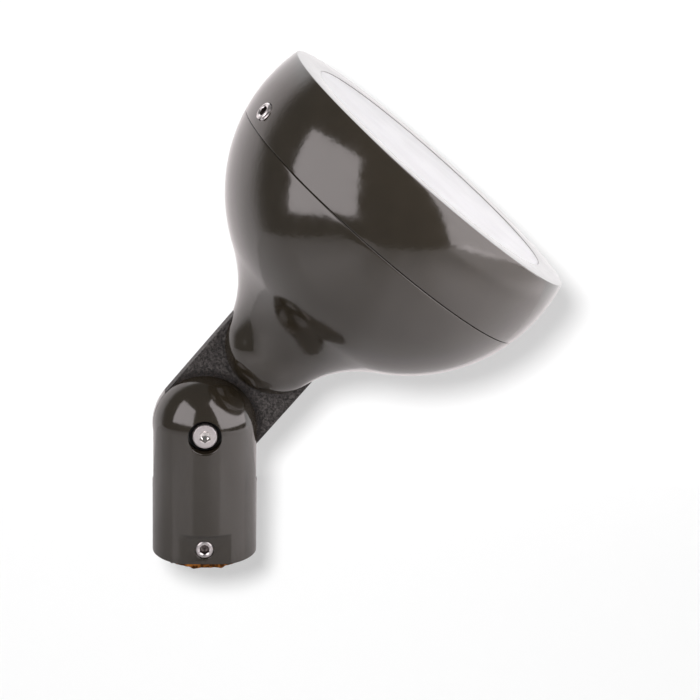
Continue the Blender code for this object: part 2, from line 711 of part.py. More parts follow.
def make_ring_screws():
    """Two opposite set screws that stand 1 mm proud of the ring, their tips in the spigot's groove."""
    profile = set_screw_profile(RING_SCREW_FACE - RING_SCREW_TIP)
    for index, angle in enumerate(RING_SCREW_ANGLES):
        x = RING_SCREW_FACE * math.cos(angle)
        y = RING_SCREW_FACE * math.sin(angle)
        socket_screw(
            f"ring_screw_{index + 1}",
            profile,
            SET_SCREW_SOCKET,
            2.4 * MM,
            STAINLESS,
            parent=HEAD,
            location=(x, y, RING_SCREW_STATION),
            rotation=(0.0, math.radians(90), angle),
        )


def make_ring_gasket():
    """Sealing ring in the spigot's groove, just ahead of the seam."""
    radius = (RING_BORE - SEAL_GROOVE_RADIUS) / 2 - GAP
    centre = ((RING_BORE + SEAL_GROOVE_RADIUS) / 2, (SEAL_GROOVE_BACK + SEAL_GROOVE_FRONT) / 2)
    section = circle_points(radius, 6, centre=centre, start=math.pi / 2, sweep=-2 * math.pi)
    turned("ring_gasket", section, SILICONE, FINE_STEPS, closed=True, parent=HEAD)


def make_lens():
    """Flat glass on its gasket, 0.6 mm below the ring's face."""
    front = RIM - LENS_RECESS
    back = front - LENS_THICKNESS
    turned("lens", disc_profile(LENS_RADIUS, back, front, 0.4 * MM), GLASS, FINE_STEPS, parent=HEAD)
    gasket = ring_profile(
        LENS_LEDGE_RADIUS + 0.4 * MM, LENS_RADIUS - 0.1 * MM, LENS_LEDGE_FRONT + GAP, back - GAP
    )
    turned("lens_gasket", gasket, SILICONE, FINE_STEPS, closed=True, parent=HEAD)


def make_lamp_seat():
    """Rubber ring on the spigot's end, with a lip round the lamp's flange."""
    bottom = SPIGOT_END + GAP
    floor = LAMP_FLANGE_BACK - GAP
    profile = [
        (SEAT_OUTER, LAMP_FLANGE_FRONT),
        (SEAT_OUTER, bottom),
        (SEAT_INNER, bottom),
        (SEAT_INNER, floor),
        (LAMP_FLANGE_RADIUS + GAP, floor),
        (LAMP_FLANGE_RADIUS + GAP, LAMP_FLANGE_FRONT),
    ]
    turned("lamp_seat", profile, RUBBER, FINE_STEPS, closed=True, parent=HEAD)


def reflector_radius(station):
    """Radius of the reflector's parabola at a station."""
    scale = REFLECTOR_MOUTH_RADIUS**2 / (REFLECTOR_MOUTH - REFLECTOR_VERTEX)
    return math.sqrt(scale * (station - REFLECTOR_VERTEX))


def make_lamp_reflector():
    """Bowl reflector with a flange at its mouth and a short neck round the light source."""
    scale = REFLECTOR_MOUTH_RADIUS**2 / (REFLECTOR_MOUTH - REFLECTOR_VERTEX)
    neck_top = REFLECTOR_VERTEX + REFLECTOR_NECK_RADIUS**2 / scale
    bottom = HEAT_SINK_FRONT + GAP
    count = 7
    steps = [(index / (count - 1)) ** 1.5 for index in range(count)]
    stations = [neck_top + (REFLECTOR_MOUTH - neck_top) * step for step in steps]
    outer = [(reflector_radius(station) + REFLECTOR_WALL, station) for station in stations]
    inner = [(reflector_radius(station), station) for station in stations]
    profile = [
        (LAMP_FLANGE_RADIUS, LAMP_FLANGE_FRONT),
        (LAMP_FLANGE_RADIUS, LAMP_FLANGE_BACK),
        (REFLECTOR_MOUTH_RADIUS + REFLECTOR_WALL, LAMP_FLANGE_BACK),
    ]
    profile += outer[::-1]
    profile += [(REFLECTOR_NECK_RADIUS + REFLECTOR_WALL, bottom), (REFLECTOR_NECK_RADIUS, bottom)]
    profile += inner
    profile += [
        (LAMP_GLASS_RADIUS + GAP, REFLECTOR_MOUTH),
        (LAMP_GLASS_RADIUS + GAP, LAMP_FLANGE_FRONT),
    ]
    turned("lamp_reflector", profile, MIRROR, MEDIUM_STEPS, closed=True, parent=HEAD)


def make_lamp_glass():
    back = REFLECTOR_MOUTH + GAP
    profile = disc_profile(LAMP_GLASS_RADIUS, back, back + 2.5 * MM, 0.4 * MM)
    turned("lamp_glass", profile, GLASS, MEDIUM_STEPS, parent=HEAD)


def fin_outline():
    """Heat sink section: fins of even width round a core."""
    half_fin = 1.3 * MM
    corners = (
        (HEAT_SINK_CORE, -1),
        (HEAT_SINK_RADIUS, -1),
        (HEAT_SINK_RADIUS, 1),
        (HEAT_SINK_CORE, 1),
    )
    points = []
    for index in range(FIN_COUNT):
        middle = 2 * math.pi * index / FIN_COUNT
        for radius, side in corners:
            angle = middle + side * math.asin(half_fin / radius)
            points.append((radius * math.cos(angle), radius * math.sin(angle)))
    return points


def make_heat_sink():
    length = HEAT_SINK_FRONT - HEAT_SINK_BACK
    mesh = outline_mesh("heat_sink", [fin_outline()], length)
    middle = (0.0, 0.0, (HEAT_SINK_FRONT + HEAT_SINK_BACK) / 2)
    add_object("heat_sink", mesh, ALUMINIUM, parent=HEAD, location=middle)


def make_light_source():
    """Round board on the heat sink and the dome over its light source."""
    board_back = HEAT_SINK_FRONT + GAP
    board_front = board_back + 1.4 * MM
    turned("led_board", disc_profile(12.4 * MM, board_back, board_front), BOARD, SMALL_STEPS, parent=HEAD)
    base = board_front + GAP
    radius = 4.5 * MM
    dome = [(0.0, base + radius)]
    for index in range(1, 6):
        angle = math.radians(90) * (1 - index / 5)
        dome.append((radius * math.cos(angle), base + radius * math.sin(angle)))
    turned("led_dome", dome + [(0.0, base)], PHOSPHOR, SMALL_STEPS, parent=HEAD)


def make_lamp_base():
    """Insulating cap on the back of the lamp, with two through holes for the terminals."""
    profile = disc_profile(15.0 * MM, LAMP_BASE_BACK, LAMP_BASE_FRONT)
    half_step = math.pi / MEDIUM_STEPS
    base = turned("lamp_base", profile, CERAMIC, MEDIUM_STEPS, parent=HEAD, rotation=(0, 0, half_step))
    for index, side in enumerate((-1, 1)):
        y = side * TERMINAL_OFFSET
        low = (0, y, LAMP_BASE_BACK - MM)
        hole = rod_mesh("terminal_hole", TERMINAL_HOLE_RADIUS, low, (0, y, LAMP_BASE_FRONT + MM))
        cut(base, add_cutter(f"terminal_hole_{index + 1}", hole, parent=HEAD))


def make_terminals():
    """On each side a slotted screw, head down, through a ring lug into the lamp base."""
    lug_front = LAMP_BASE_BACK - GAP
    lug_back = lug_front - LUG_THICKNESS
    head_front = lug_back - GAP
    head_back = head_front - 2.2 * MM
    shank_end = LAMP_BASE_FRONT - GAP
    profile = [
        (0.0, shank_end),
        (1.5 * MM, shank_end),
        (1.5 * MM, head_front),
        (2.9 * MM, head_front),
        (2.9 * MM, head_back),
        (0.0, head_back),
    ]
    for index, side in enumerate((-1, 1)):
        centre = Vector((0.0, side * TERMINAL_OFFSET, 0.0))
        screw = turned(
            f"terminal_screw_{index + 1}", profile, BRASS, SMALL_STEPS, parent=HEAD, location=centre
        )
        slot_corner = (4 * MM, 0.4 * MM, head_back + 0.8 * MM)
        slot = box_mesh("slot", (-4 * MM, -0.4 * MM, head_back - MM), slot_corner)
        cut(screw, add_cutter(f"terminal_slot_{index + 1}", slot, parent=HEAD, location=centre))
        eye = circle_points(TERMINAL_HOLE_RADIUS, SMALL_STEPS)
        lug = outline_mesh("lug", [lug_outline(side), eye], LUG_THICKNESS)
        place = centre + Vector((0.0, 0.0, (lug_front + lug_back) / 2))
        add_object(f"lead_lug_{index + 1}", lug, BRASS, parent=HEAD, location=place)


def lug_outline(side):
    """A ring lug whose tongue points at the head's axis."""
    half_width = 1.1 * MM
    radius = 3.2 * MM
    inward = -side * math.pi / 2
    opening = math.asin(half_width / radius)
    arc = circle_points(radius, 20, start=inward + opening, sweep=2 * math.pi - 2 * opening)
    tip = -side * LUG_TIP
    return arc + [(-side * half_width, tip), (side * half_width, tip)]


def make_leads():
    """From each lug a lead turns down through the gland, and ends above the arm's wireway."""
    level = LAMP_BASE_BACK - GAP - LEAD_RADIUS
    bend = 1.9 * MM
    for index, side in enumerate((-1, 1)):
        start = TERMINAL_OFFSET - LUG_TIP - GAP
        points = [(side * start, level)]
        centre = (LEAD_OFFSET + bend, level - bend)
        for y, z in circle_points(bend, 7, centre=centre, start=math.pi / 2, sweep=math.pi / 2):
            points.append((side * y, z))
        points.append((side * LEAD_OFFSET, ARM_TAIL + 2 * GAP))
        curve = bpy.data.curves.new(f"lead_{index + 1}", "CURVE")
        curve.dimensions = "3D"
        curve.bevel_depth = LEAD_RADIUS
        curve.bevel_resolution = 2
        curve.use_fill_caps = True
        spline = curve.splines.new("POLY")
        spline.points.add(len(points) - 1)
        for point, (y, z) in zip(spline.points, points):
            point.co = (0.0, y, z, 1.0)
        name = f"lead_{index + 1}"
        add_object(name, mesh_from_curve(name, curve), RED_LEAD if side > 0 else BLACK_NYLON, parent=HEAD)


def add_frame(name, location=(0, 0, 0), rotation=(0, 0, 0), parent=None):
    empty = bpy.data.objects.new(name, None)
    PARTS.objects.link(empty)
    empty.location = location
    empty.rotation_euler = rotation
    empty.parent = parent
    return empty


KNUCKLE = add_frame("knuckle_swivel")
HEAD = add_frame("head_tilt", (0, 0, PIVOT_HEIGHT), (0, math.pi / 2 - REST_TILT, 0), KNUCKLE)

make_stem_bushing()
make_knuckle_body()
make_wire_grommet()
make_stem_set_screw()
make_pivot_bolt()
make_tilt_arm()
make_friction_washers()
make_rear_housing()
make_arm_screws()
make_neck_gland()
make_front_ring()
make_ring_screws()
make_ring_gasket()
make_lens()
make_lamp_seat()
make_lamp_reflector()
make_lamp_glass()
make_heat_sink()
make_light_source()
make_lamp_base()
make_terminals()
make_leads()
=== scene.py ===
"""The wall washer light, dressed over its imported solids: finer shells, screws, threads and finishes.

Metres, +Z up. Pieces of the head are modelled in the head's own frame: origin on the pivot, +Z along
the head's axis, +X on the side that faces down at rest. The camera, the lamps and the sheet are placed
along the photograph's own axes: right, up, and towards the camera, in millimetres from a point in the
knuckle's dome.
"""

import json
import math

import bmesh
import bpy
from mathutils import Matrix, Vector


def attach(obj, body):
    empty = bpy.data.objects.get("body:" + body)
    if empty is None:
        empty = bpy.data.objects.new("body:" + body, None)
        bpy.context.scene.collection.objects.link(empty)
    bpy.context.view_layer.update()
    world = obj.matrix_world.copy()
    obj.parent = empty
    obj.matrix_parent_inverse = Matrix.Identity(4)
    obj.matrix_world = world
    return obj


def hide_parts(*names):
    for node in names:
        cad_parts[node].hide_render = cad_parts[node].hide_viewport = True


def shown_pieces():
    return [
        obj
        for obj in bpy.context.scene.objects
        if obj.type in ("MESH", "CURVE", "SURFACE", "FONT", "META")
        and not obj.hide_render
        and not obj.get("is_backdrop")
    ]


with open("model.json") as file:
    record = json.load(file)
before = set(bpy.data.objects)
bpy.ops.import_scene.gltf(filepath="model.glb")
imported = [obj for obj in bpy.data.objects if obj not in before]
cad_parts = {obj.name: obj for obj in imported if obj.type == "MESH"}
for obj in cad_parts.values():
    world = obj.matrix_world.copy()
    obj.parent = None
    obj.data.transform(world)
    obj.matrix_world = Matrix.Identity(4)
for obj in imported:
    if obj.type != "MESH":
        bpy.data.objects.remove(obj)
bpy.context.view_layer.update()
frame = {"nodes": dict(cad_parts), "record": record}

MM = 0.001

# Camera, and the photograph's axes that it gives
CAMERA_AZIMUTH = math.radians(-3.499)
CAMERA_ELEVATION = math.radians(15.844)
CAMERA_ROLL = math.radians(1.16)
CAMERA_PLACE = (53.665, 27.828, 930.0)
PHOTO_ORIGIN_HEIGHT = 50.9 * MM
FOCAL_PIXELS = 2513.441
PHOTO_PIXELS = 700
SENSOR_WIDTH = 36.0

# Stem bushing
BUSHING_RADIUS = 13.4 * MM
BUSHING_BORE = 9.6 * MM
BUSHING_HEIGHT = 15.0 * MM
BUSHING_GROOVE_DEPTH = 1.4 * MM
COLLAR_RADIUS = 15.2 * MM
COLLAR_TOP = 2.1 * MM
COLLAR_EDGE = 0.35 * MM
COLLAR_UNEVEN = 0.10 * MM
COLLAR_CAST_HEIGHT = 1.3 * MM
LUMP_COUNT = 9
LUMP_PLACE = math.radians(14.6)
LUMP_HALF_WIDTH = math.radians(4.5)
LUMP_DEPTH = 0.6 * MM
PIPE_PITCH = 1.814 * MM
PIPE_THREAD_DEPTH = 1.1 * MM

# Knuckle
KNUCKLE_FOOT = 2.4 * MM
KNUCKLE_RADIUS = 19.4 * MM
PIVOT_HEIGHT = KNUCKLE_FOOT + 49.5 * MM
SLOT_HALF_WIDTH = 3.6 * MM
SLOT_FLOOR = PIVOT_HEIGHT - 20.4 * MM
SOCKET_RADIUS = 13.8 * MM
SOCKET_TOP = 15.3 * MM
PAD_DISTANCE = 16.7 * MM
PAD_TOP = 14.3 * MM
WIRE_HOLE_RADIUS = 4.5 * MM
WIRE_HOLE_COUNTERBORE = 6.9 * MM
STEM_SCREW_HEIGHT = KNUCKLE_FOOT + 5.5 * MM
STEM_SCREW_FACE = 16.5 * MM
STEM_SCREW_TIP = 12.3 * MM

# Pivot bolt and nut: distances from the knuckle's axis, along Y
BOLT_RADIUS = 2.35 * MM
BOLT_HOLE_RADIUS = 2.7 * MM
BOLT_HEAD_RADIUS = 4.6 * MM
BOLT_HEAD_HEIGHT = 2.6 * MM
BOLT_HEAD_SEAT = 15.0 * MM
BOLT_SOCKET = 4.0 * MM
BOLT_SOCKET_DEPTH = 1.7 * MM
BOLT_THREAD_START = -8.0 * MM
BOLT_END = 17.0 * MM
BOLT_POINT = 0.5 * MM
BOLT_PITCH = 0.8 * MM
BOLT_THREAD_DEPTH = 0.42 * MM
COUNTERBORE_RADIUS = 6.2 * MM
COUNTERBORE_FLOOR = 13.6 * MM
COUNTERBORE_MOUTH = 18.9 * MM
NUT_ACROSS_FLATS = 9.5 * MM
NUT_START = 13.3 * MM
NUT_END = 16.5 * MM
NUT_POCKET_FLOOR = 13.0 * MM
NUT_POCKET_ACROSS_FLATS = 10.1 * MM

# Set screws with a quarter inch thread
SOCKET_LIP = 0.12 * MM
SET_SCREW_RADIUS = 3.3 * MM
SET_SCREW_HOLE = 3.475 * MM
SET_SCREW_SOCKET = 3.4 * MM
SET_SCREW_SOCKET_DEPTH = 2.3 * MM
SET_SCREW_DISH = 0.22 * MM
SET_SCREW_CREST = 2.65 * MM
SET_SCREW_PITCH = 1.27 * MM
SET_SCREW_THREAD_DEPTH = 0.6 * MM
SET_SCREW_POINT = 0.7 * MM

# Tilting arm
REST_TILT = math.radians(50.1)
ARM_HALF_WIDTH = 19.4 * MM
ARM_THICKNESS = 6.8 * MM
ARM_TAIL = 39.4 * MM
ARM_RIM_START = 18.7 * MM
ARM_SCREW_END = 29 * MM
ARM_RECESS_FLOOR = 2.2 * MM
ARM_RECESS_RADIUS = 7.0 * MM
ARM_EDGE = 0.55 * MM
# Painted shade on the arm round the knuckle: the reach from the pivot over which it fades out
PIVOT_SHADE_REACH = (20.2 * MM, 22.4 * MM)
WIREWAY_RADIUS = 2.0 * MM
WIREWAY_EXIT = Vector((14.0 * MM, 0.0, -13.0 * MM))

# Head: stations along its axis from the pivot, and radii. A groove has a radius, a back and a front.
NECK_CENTRE = 40.5 * MM
NECK_RADIUS = 19.2 * MM
NECK_SLOT_HALF_WIDTH = 3.5 * MM
NECK_SLOT_TOP = 39.7 * MM
BOWL_CENTRE = 111.2 * MM
BOWL_HALF_LENGTH = 63.3 * MM
BOWL_RADIUS = 65.4 * MM
BOWL_WALL = 3.0 * MM
FLARE_START = 35.6 * MM
FLARE_END = 59.2 * MM
HOUSING_FLOOR = 45.7 * MM
HOUSING_FLOOR_RADIUS = 16.8 * MM
INNER_BOWL_START = 63.2 * MM
SPIGOT_ROOT = 95.0 * MM
SEAM = 98.7 * MM
SEAM_GAP = 0.17 * MM
SEAM_UNEVEN = 0.08 * MM
SPIGOT_END = 110.2 * MM
SPIGOT_OUTER = 60.9 * MM
SPIGOT_INNER = 56.8 * MM
SEAL_GROOVE = (59.4 * MM, 99.3 * MM, 101.2 * MM)
SCREW_GROOVE = (59.3 * MM, 101.9 * MM, 108.9 * MM)
RIM = 126.2 * MM
GLAND_HOLE_RADIUS = 4.0 * MM
ARM_SCREW_OFFSET = 10.0 * MM
ARM_SCREW_HOLE = 2.2 * MM

# Front ring and lens
RING_BORE = 61.3 * MM
RING_INNER = 56.0 * MM
RING_STEP = 114.6 * MM
LENS_LEDGE_BACK = 116.8 * MM
LENS_LEDGE_FRONT = 120.0 * MM
LENS_LEDGE_RADIUS = 47.5 * MM
LENS_RADIUS = 52.0 * MM
LENS_BACK = 121.6 * MM
LENS_FRONT = 126.05 * MM
RING_SCREW_STATION = 105.5 * MM
RING_SCREW_ANGLES = (math.radians(198.9), math.radians(18.9))
RING_SCREW_TIP = 59.6 * MM
RING_SCREW_FACE = 66.2 * MM

# Lamp inside the head
LAMP_FLANGE_BACK = 112.3 * MM
LAMP_FLANGE_FRONT = 114.2 * MM
LAMP_FLANGE_RADIUS = 57.2 * MM
LAMP_GLASS_RADIUS = 54.1 * MM
LAMP_GLASS_BACK = 112.3 * MM
LAMP_GLASS_FRONT = 114.8 * MM
REFLECTOR_VERTEX = 66.0 * MM
REFLECTOR_MOUTH = 112.0 * MM
REFLECTOR_MOUTH_RADIUS = 53.0 * MM
REFLECTOR_WALL = 1.6 * MM
REFLECTOR_NECK_RADIUS = 13.0 * MM
REFLECTOR_BACK = 67.3 * MM
REFLECTOR_SCALE = REFLECTOR_MOUTH_RADIUS**2 / (REFLECTOR_MOUTH - REFLECTOR_VERTEX)
BOARD_RADIUS = 12.4 * MM
BOARD_BACK = 67.3 * MM
BOARD_FRONT = 68.7 * MM
LED_BASE = 69.0 * MM
LED_RADIUS = 4.5 * MM

SHELL_STEPS = 240
RING_STEPS = 160
SCREW_STEPS = 72
TINY = 1e-7

SCENE = bpy.context.scene


def turned(degrees, axis):
    """A rotation about one of the axes."""
    return Matrix.Rotation(math.radians(degrees), 4, axis)


def photo_axes():
    """Unit vectors that point right and up in the photograph, and towards the camera."""
    turn = Matrix.Rotation(CAMERA_AZIMUTH, 4, "Z") @ Matrix.Rotation(-CAMERA_ELEVATION, 4, "X")
    roll = Matrix.Rotation(CAMERA_ROLL, 4, "Y")
    right, away, up = (turn @ roll.inverted()).to_3x3().transposed()
    return right, up, -away


RIGHT, UP, TOWARD = photo_axes()
SQUARE_TO_CAMERA = Matrix((RIGHT, UP, TOWARD)).transposed().to_4x4()
PHOTO_ORIGIN = Vector((0.0, 0.0, PHOTO_ORIGIN_HEIGHT))


def photo_place(right, up, toward):
    """A place in the model's frame from millimetres along the photograph's axes."""
    return PHOTO_ORIGIN + (RIGHT * right + UP * up + TOWARD * toward) * MM


def photo_direction(right, up, toward):
    return (RIGHT * right + UP * up + TOWARD * toward).normalized()


def make_camera():
    lens = bpy.data.cameras.new("camera")
    lens.sensor_width = SENSOR_WIDTH
    lens.lens = FOCAL_PIXELS * SENSOR_WIDTH / PHOTO_PIXELS
    lens.clip_start = 0.01
    place = Matrix.Translation(photo_place(*CAMERA_PLACE)) @ SQUARE_TO_CAMERA
    SCENE.camera = add_object("camera", lens, place)


# Materials


def feed(owner, socket, value):
    """Links the value to the socket if it is a socket too, or else sets it.

    The owner, here and below, is the material or the world that has the nodes.
    """
    if isinstance(value, bpy.types.NodeSocket):
        owner.node_tree.links.new(value, socket)
    else:
        socket.default_value = value


def drive(material, socket, value):
    feed(material, material.node_tree.nodes["Principled BSDF"].inputs[socket], value)


def new_material(name, colour, roughness, metallic=0.0, **sockets):
    """A Principled material. Further settings are named by their socket, with _ for a space."""
    material = bpy.data.materials.new(name)
    material.use_nodes = True
    sockets.update(Base_Color=(*colour, 1.0), Roughness=roughness, Metallic=metallic)
    for socket, value in sockets.items():
        drive(material, socket.replace("_", " "), value)
    return material


def add_node(owner, kind, inputs=None, **settings):
    """A new shader node with these inputs and properties."""
    node = owner.node_tree.nodes.new("ShaderNode" + kind)
    for key, value in settings.items():
        setattr(node, key, value)
    for key, value in (inputs or {}).items():
        feed(owner, node.inputs[key], value)
    return node


def place_socket(owner):
    """The piece's own coordinates, in metres."""
    for node in owner.node_tree.nodes:
        if node.bl_idname == "ShaderNodeTexCoord":
            return node.outputs["Object"]
    return add_node(owner, "TexCoord").outputs["Object"]


def texture(owner, kind, output, inputs, **settings):
    """The output of a texture over the piece's own coordinates."""
    node = add_node(owner, kind, {"Vector": place_socket(owner), **inputs}, **settings)
    return node.outputs[output]


def noise(owner, size, detail=2.0, roughness=0.5, distortion=0.0):
    """A noise whose spots are about this size, in metres."""
    inputs = {"Scale": 1.0 / size, "Detail": detail, "Roughness": roughness, "Distortion": distortion}
    return texture(owner, "TexNoise", "Fac", inputs)


def cells(owner, size):
    """Distances to the nearest of scattered points, about this far apart, in metres."""
    return texture(owner, "TexVoronoi", "Distance", {"Scale": 1.0 / size})


def turned_marks(owner, width):
    """Rings about the piece's Z axis, as a lathe leaves them."""
    inputs = {"Scale": 0.1 / width, "Distortion": 1.5, "Detail": 2.0, "Detail Scale": 1.0}
    return texture(owner, "TexWave", "Fac", inputs, wave_type="RINGS", rings_direction="Z")


def distance_from(owner, point):
    """How far the surface's own coordinates are from a point."""
    inputs = {0: place_socket(owner), 1: point}
    return add_node(owner, "VectorMath", inputs, operation="DISTANCE").outputs["Value"]


def span(owner, value, low, high):
    """The value's place between two ends, from 0 to 1."""
    return add_node(owner, "MapRange", {"Value": value, "From Min": low, "From Max": high}).outputs[0]


def stops(owner, value, *marks):
    """A colour ramp over the value. Each mark is a place and a colour or a grey."""
    node = add_node(owner, "ValToRGB", {"Fac": value})
    elements = node.color_ramp.elements
    while len(elements) < len(marks):
        elements.new(0.5)
    for element, (where, colour) in zip(elements, marks):
        element.position = where
        element.color = (*colour, 1.0) if isinstance(colour, tuple) else (colour, colour, colour, 1.0)
    return node.outputs["Color"]


def vary(material, socket, size, least, most):
    """Lets a noise of this size move the socket between two greys or two colours."""
    drive(material, socket, stops(material, noise(material, size), (0.3, least), (0.7, most)))


def bump(material, height, distance, under=None):
    """Raises the surface by height times this distance, on top of an earlier bump if one is given."""
    inputs = {"Strength": 1.0, "Distance": distance, "Height": height}
    if under:
        inputs["Normal"] = under
    normal = add_node(material, "Bump", inputs).outputs["Normal"]
    drive(material, "Normal", normal)
    return normal


def bronze_paint():
    """Dark brown gloss powder coat, with orange peel in the gloss."""
    paint = new_material("bronze_gloss", (0.0285, 0.0225, 0.014), 0.10, IOR=1.9)
    vary(paint, "Base Color", 9 * MM, (0.026, 0.0205, 0.0125), (0.031, 0.0245, 0.0155))
    vary(paint, "Roughness", 4 * MM, 0.09, 0.15)
    peel = bump(paint, noise(paint, 2.0 * MM, 1.0), 0.022 * MM)
    bump(paint, noise(paint, 0.5 * MM), 0.002 * MM, under=peel)
    return paint


def wrinkle_coat():
    """Dark rough coat with a raised, pitted wrinkle: painted shade in its pits, a painted highlight on its
    crests, and painted shade close round the knuckle.
    """
    coat = new_material("wrinkle_coat", (0.05, 0.046, 0.043), 0.5, IOR=1.6)
    wrinkle = noise(coat, 1.1 * MM, 3.0, 0.6, 0.8)
    # The tone follows the wrinkle's height: painted shade in the low pits and a painted highlight on the
    # raised crests.
    shaded_pit = (0.38, (0.010, 0.008, 0.007))
    slope = (0.5, (0.054, 0.048, 0.045))
    crest = (0.64, (0.112, 0.104, 0.098))
    tone = stops(coat, wrinkle, shaded_pit, slope, crest)
    # Painted shade: the tone is darkened close round the pivot, where the knuckle's dome shades the arm.
    from_pivot = span(coat, distance_from(coat, (0.0, 0.0, PIVOT_HEIGHT)), *PIVOT_SHADE_REACH)
    pivot_shade = stops(coat, from_pivot, (0.0, (0.24, 0.18, 0.14)), (1.0, 1.0))
    pivot_shaded_tone = add_node(coat, "VectorMath", {0: tone, 1: pivot_shade}, operation="MULTIPLY")
    drive(coat, "Base Color", pivot_shaded_tone.outputs[0])
    vary(coat, "Roughness", 0.5 * MM, 0.38, 0.62)
    raised = bump(coat, stops(coat, wrinkle, (0.36, 0.0), (0.6, 1.0)), 0.30 * MM)
    bump(coat, stops(coat, cells(coat, 1.5 * MM), (0.1, 0.0), (0.28, 1.0)), 0.16 * MM, under=raised)
    return coat


def turned_steel(name, least, most):
    """Bright stainless steel with fine turning marks, and a roughness between these."""
    steel = new_material(name, (0.90, 0.86, 0.86), most, 1.0)
    vary(steel, "Roughness", 1.2 * MM, least, most)
    marks = bump(steel, turned_marks(steel, 0.35 * MM), 0.004 * MM)
    bump(steel, noise(steel, 0.4 * MM), 0.002 * MM, under=marks)
    return steel


def shaded_socket_steel():
    """Painted shade inside a hex socket: a darker steel where shade falls."""
    steel = new_material("shaded_socket_steel", (0.20, 0.17, 0.165), 0.35, 1.0)
    vary(steel, "Base Color", 0.8 * MM, (0.10, 0.08, 0.08), (0.34, 0.30, 0.29))
    return steel


def raw_brass():
    """Orange brass, cast and turned, with dark stains."""
    brass = new_material("raw_brass", (0.62, 0.26, 0.04), 0.34, 1.0)
    stained = (0.42, (0.10, 0.040, 0.012))
    bare = (0.64, (0.66, 0.25, 0.05))
    drive(brass, "Base Color", stops(brass, noise(brass, 1.7 * MM, 3.0), stained, bare))
    vary(brass, "Roughness", 1.2 * MM, 0.26, 0.46)
    bump(brass, noise(brass, 0.9 * MM, 3.0), 0.10 * MM)
    return brass


# Colour, roughness, the size and height of the grain in millimetres, and further settings
PLAIN_FINISHES = {
    "black_nylon": ((0.007, 0.006, 0.006), 0.6, 0.4, 0.01, {}),
    "black_rubber": ((0.02, 0.02, 0.02), 0.7, 0.3, 0.02, {}),
    "grey_silicone": ((0.52, 0.52, 0.53), 0.55, 0.5, 0.01, {}),
    "bare_aluminium": ((0.58, 0.58, 0.60), 0.38, 0.25, 0.015, {"metallic": 1.0}),
    "white_board": ((0.80, 0.80, 0.78), 0.4, 0.6, 0.005, {"uneven": 0.04}),
    "led_phosphor": ((0.85, 0.62, 0.10), 0.3, 0.5, 0.008, {"Coat_Weight": 1.0}),
    "ivory_ceramic": ((0.74, 0.69, 0.58), 0.45, 0.5, 0.01, {}),
    "red_lead": ((0.45, 0.03, 0.02), 0.4, 0.4, 0.006, {}),
}


def plain_finish(name, uneven=0.12, **settings):
    """A finish whose colour and gloss vary a little, with a fine grain."""
    colour, roughness, size, height, _ = PLAIN_FINISHES[name]
    grain = size * MM
    finish = new_material(name, colour, roughness, **settings)
    dark = tuple(part * (1.0 - uneven) for part in colour)
    light = tuple(min(1.0, part * (1.0 + uneven)) for part in colour)
    vary(finish, "Base Color", grain * 6, dark, light)
    vary(finish, "Roughness", grain * 3, roughness * 0.85, roughness * 1.15)
    bump(finish, noise(finish, grain), height * MM)
    return finish


def clear_glass():
    """Clear glass with a faint haze of dust on it."""
    glass = new_material("clear_glass", (0.97, 0.985, 0.98), 0.02, IOR=1.5, Transmission_Weight=1.0)
    drive(glass, "Roughness", stops(glass, noise(glass, 14 * MM, 4.0), (0.45, 0.01), (0.75, 0.09)))
    return glass


def frosted_glass():
    """Lightly frosted, milky glass that hides the lamp behind it at a low angle."""
    glass = new_material("frosted_glass", (0.74, 0.75, 0.765), 0.3, IOR=1.5, Transmission_Weight=0.6)
    drive(glass, "Roughness", stops(glass, noise(glass, 14 * MM, 4.0), (0.4, 0.28), (0.75, 0.34)))
    bump(glass, noise(glass, 0.4 * MM), 0.0012 * MM)
    return glass


def mirror_coat():
    """Aluminised reflector with shallow facets."""
    mirror = new_material("mirror_coat", (0.88, 0.88, 0.89), 0.08, 1.0)
    vary(mirror, "Roughness", 8 * MM, 0.06, 0.12)
    bump(mirror, cells(mirror, 4.5 * MM), 0.25 * MM)
    return mirror


def make_materials():
    """Every material, by the name of its slot or of its own finish."""
    made = {
        "bronze_coat": bronze_paint(),
        "textured_coat": wrinkle_coat(),
        "stainless": turned_steel("turned_steel", 0.44, 0.56),
        "screw_steel": turned_steel("screw_steel", 0.26, 0.34),
        "polished_steel": new_material("polished_steel", (0.92, 0.89, 0.87), 0.14, 1.0),
        "shaded_socket_steel": shaded_socket_steel(),
        "brass": raw_brass(),
        "clear_glass": clear_glass(),
        "frosted_glass": frosted_glass(),
        "reflector_coat": mirror_coat(),
    }
    for name, values in PLAIN_FINISHES.items():
        made[name] = plain_finish(name, **values[-1])
    return made


MATERIALS = make_materials()


# Shapes


def rounded(points, closed=False, steps=5):
    """The outline of (x, y) or (x, y, radius) corners, with the corners that give a radius rounded."""
    outline = []
    count = len(points)
    for index, point in enumerate(points):
        corner = Vector(point[:2])
        radius = point[2] if len(point) > 2 else 0.0
        at_end = not closed and index in (0, count - 1)
        if radius == 0.0 or at_end:
            outline.append(tuple(corner))
            continue
        before = Vector(points[index - 1][:2]) - corner
        after = Vector(points[(index + 1) % count][:2]) - corner
        half_angle = before.angle(after) / 2
        reach = min(radius / math.tan(half_angle), before.length * 0.49, after.length * 0.49)
        start = corner + before.normalized() * reach
        end = corner + after.normalized() * reach
        for step in range(steps + 1):
            t = step / steps
            outline.append(tuple(start * (1 - t) ** 2 + corner * 2 * t * (1 - t) + end * t**2))
    return outline


def spread(start, end, count):
    """Even values from the start to the end, both included."""
    return [start + (end - start) * index / (count - 1) for index in range(count)]


def straight(radius, start, end, count):
    """Points of one radius at even heights."""
    return [(radius, height) for height in spread(start, end, count)]


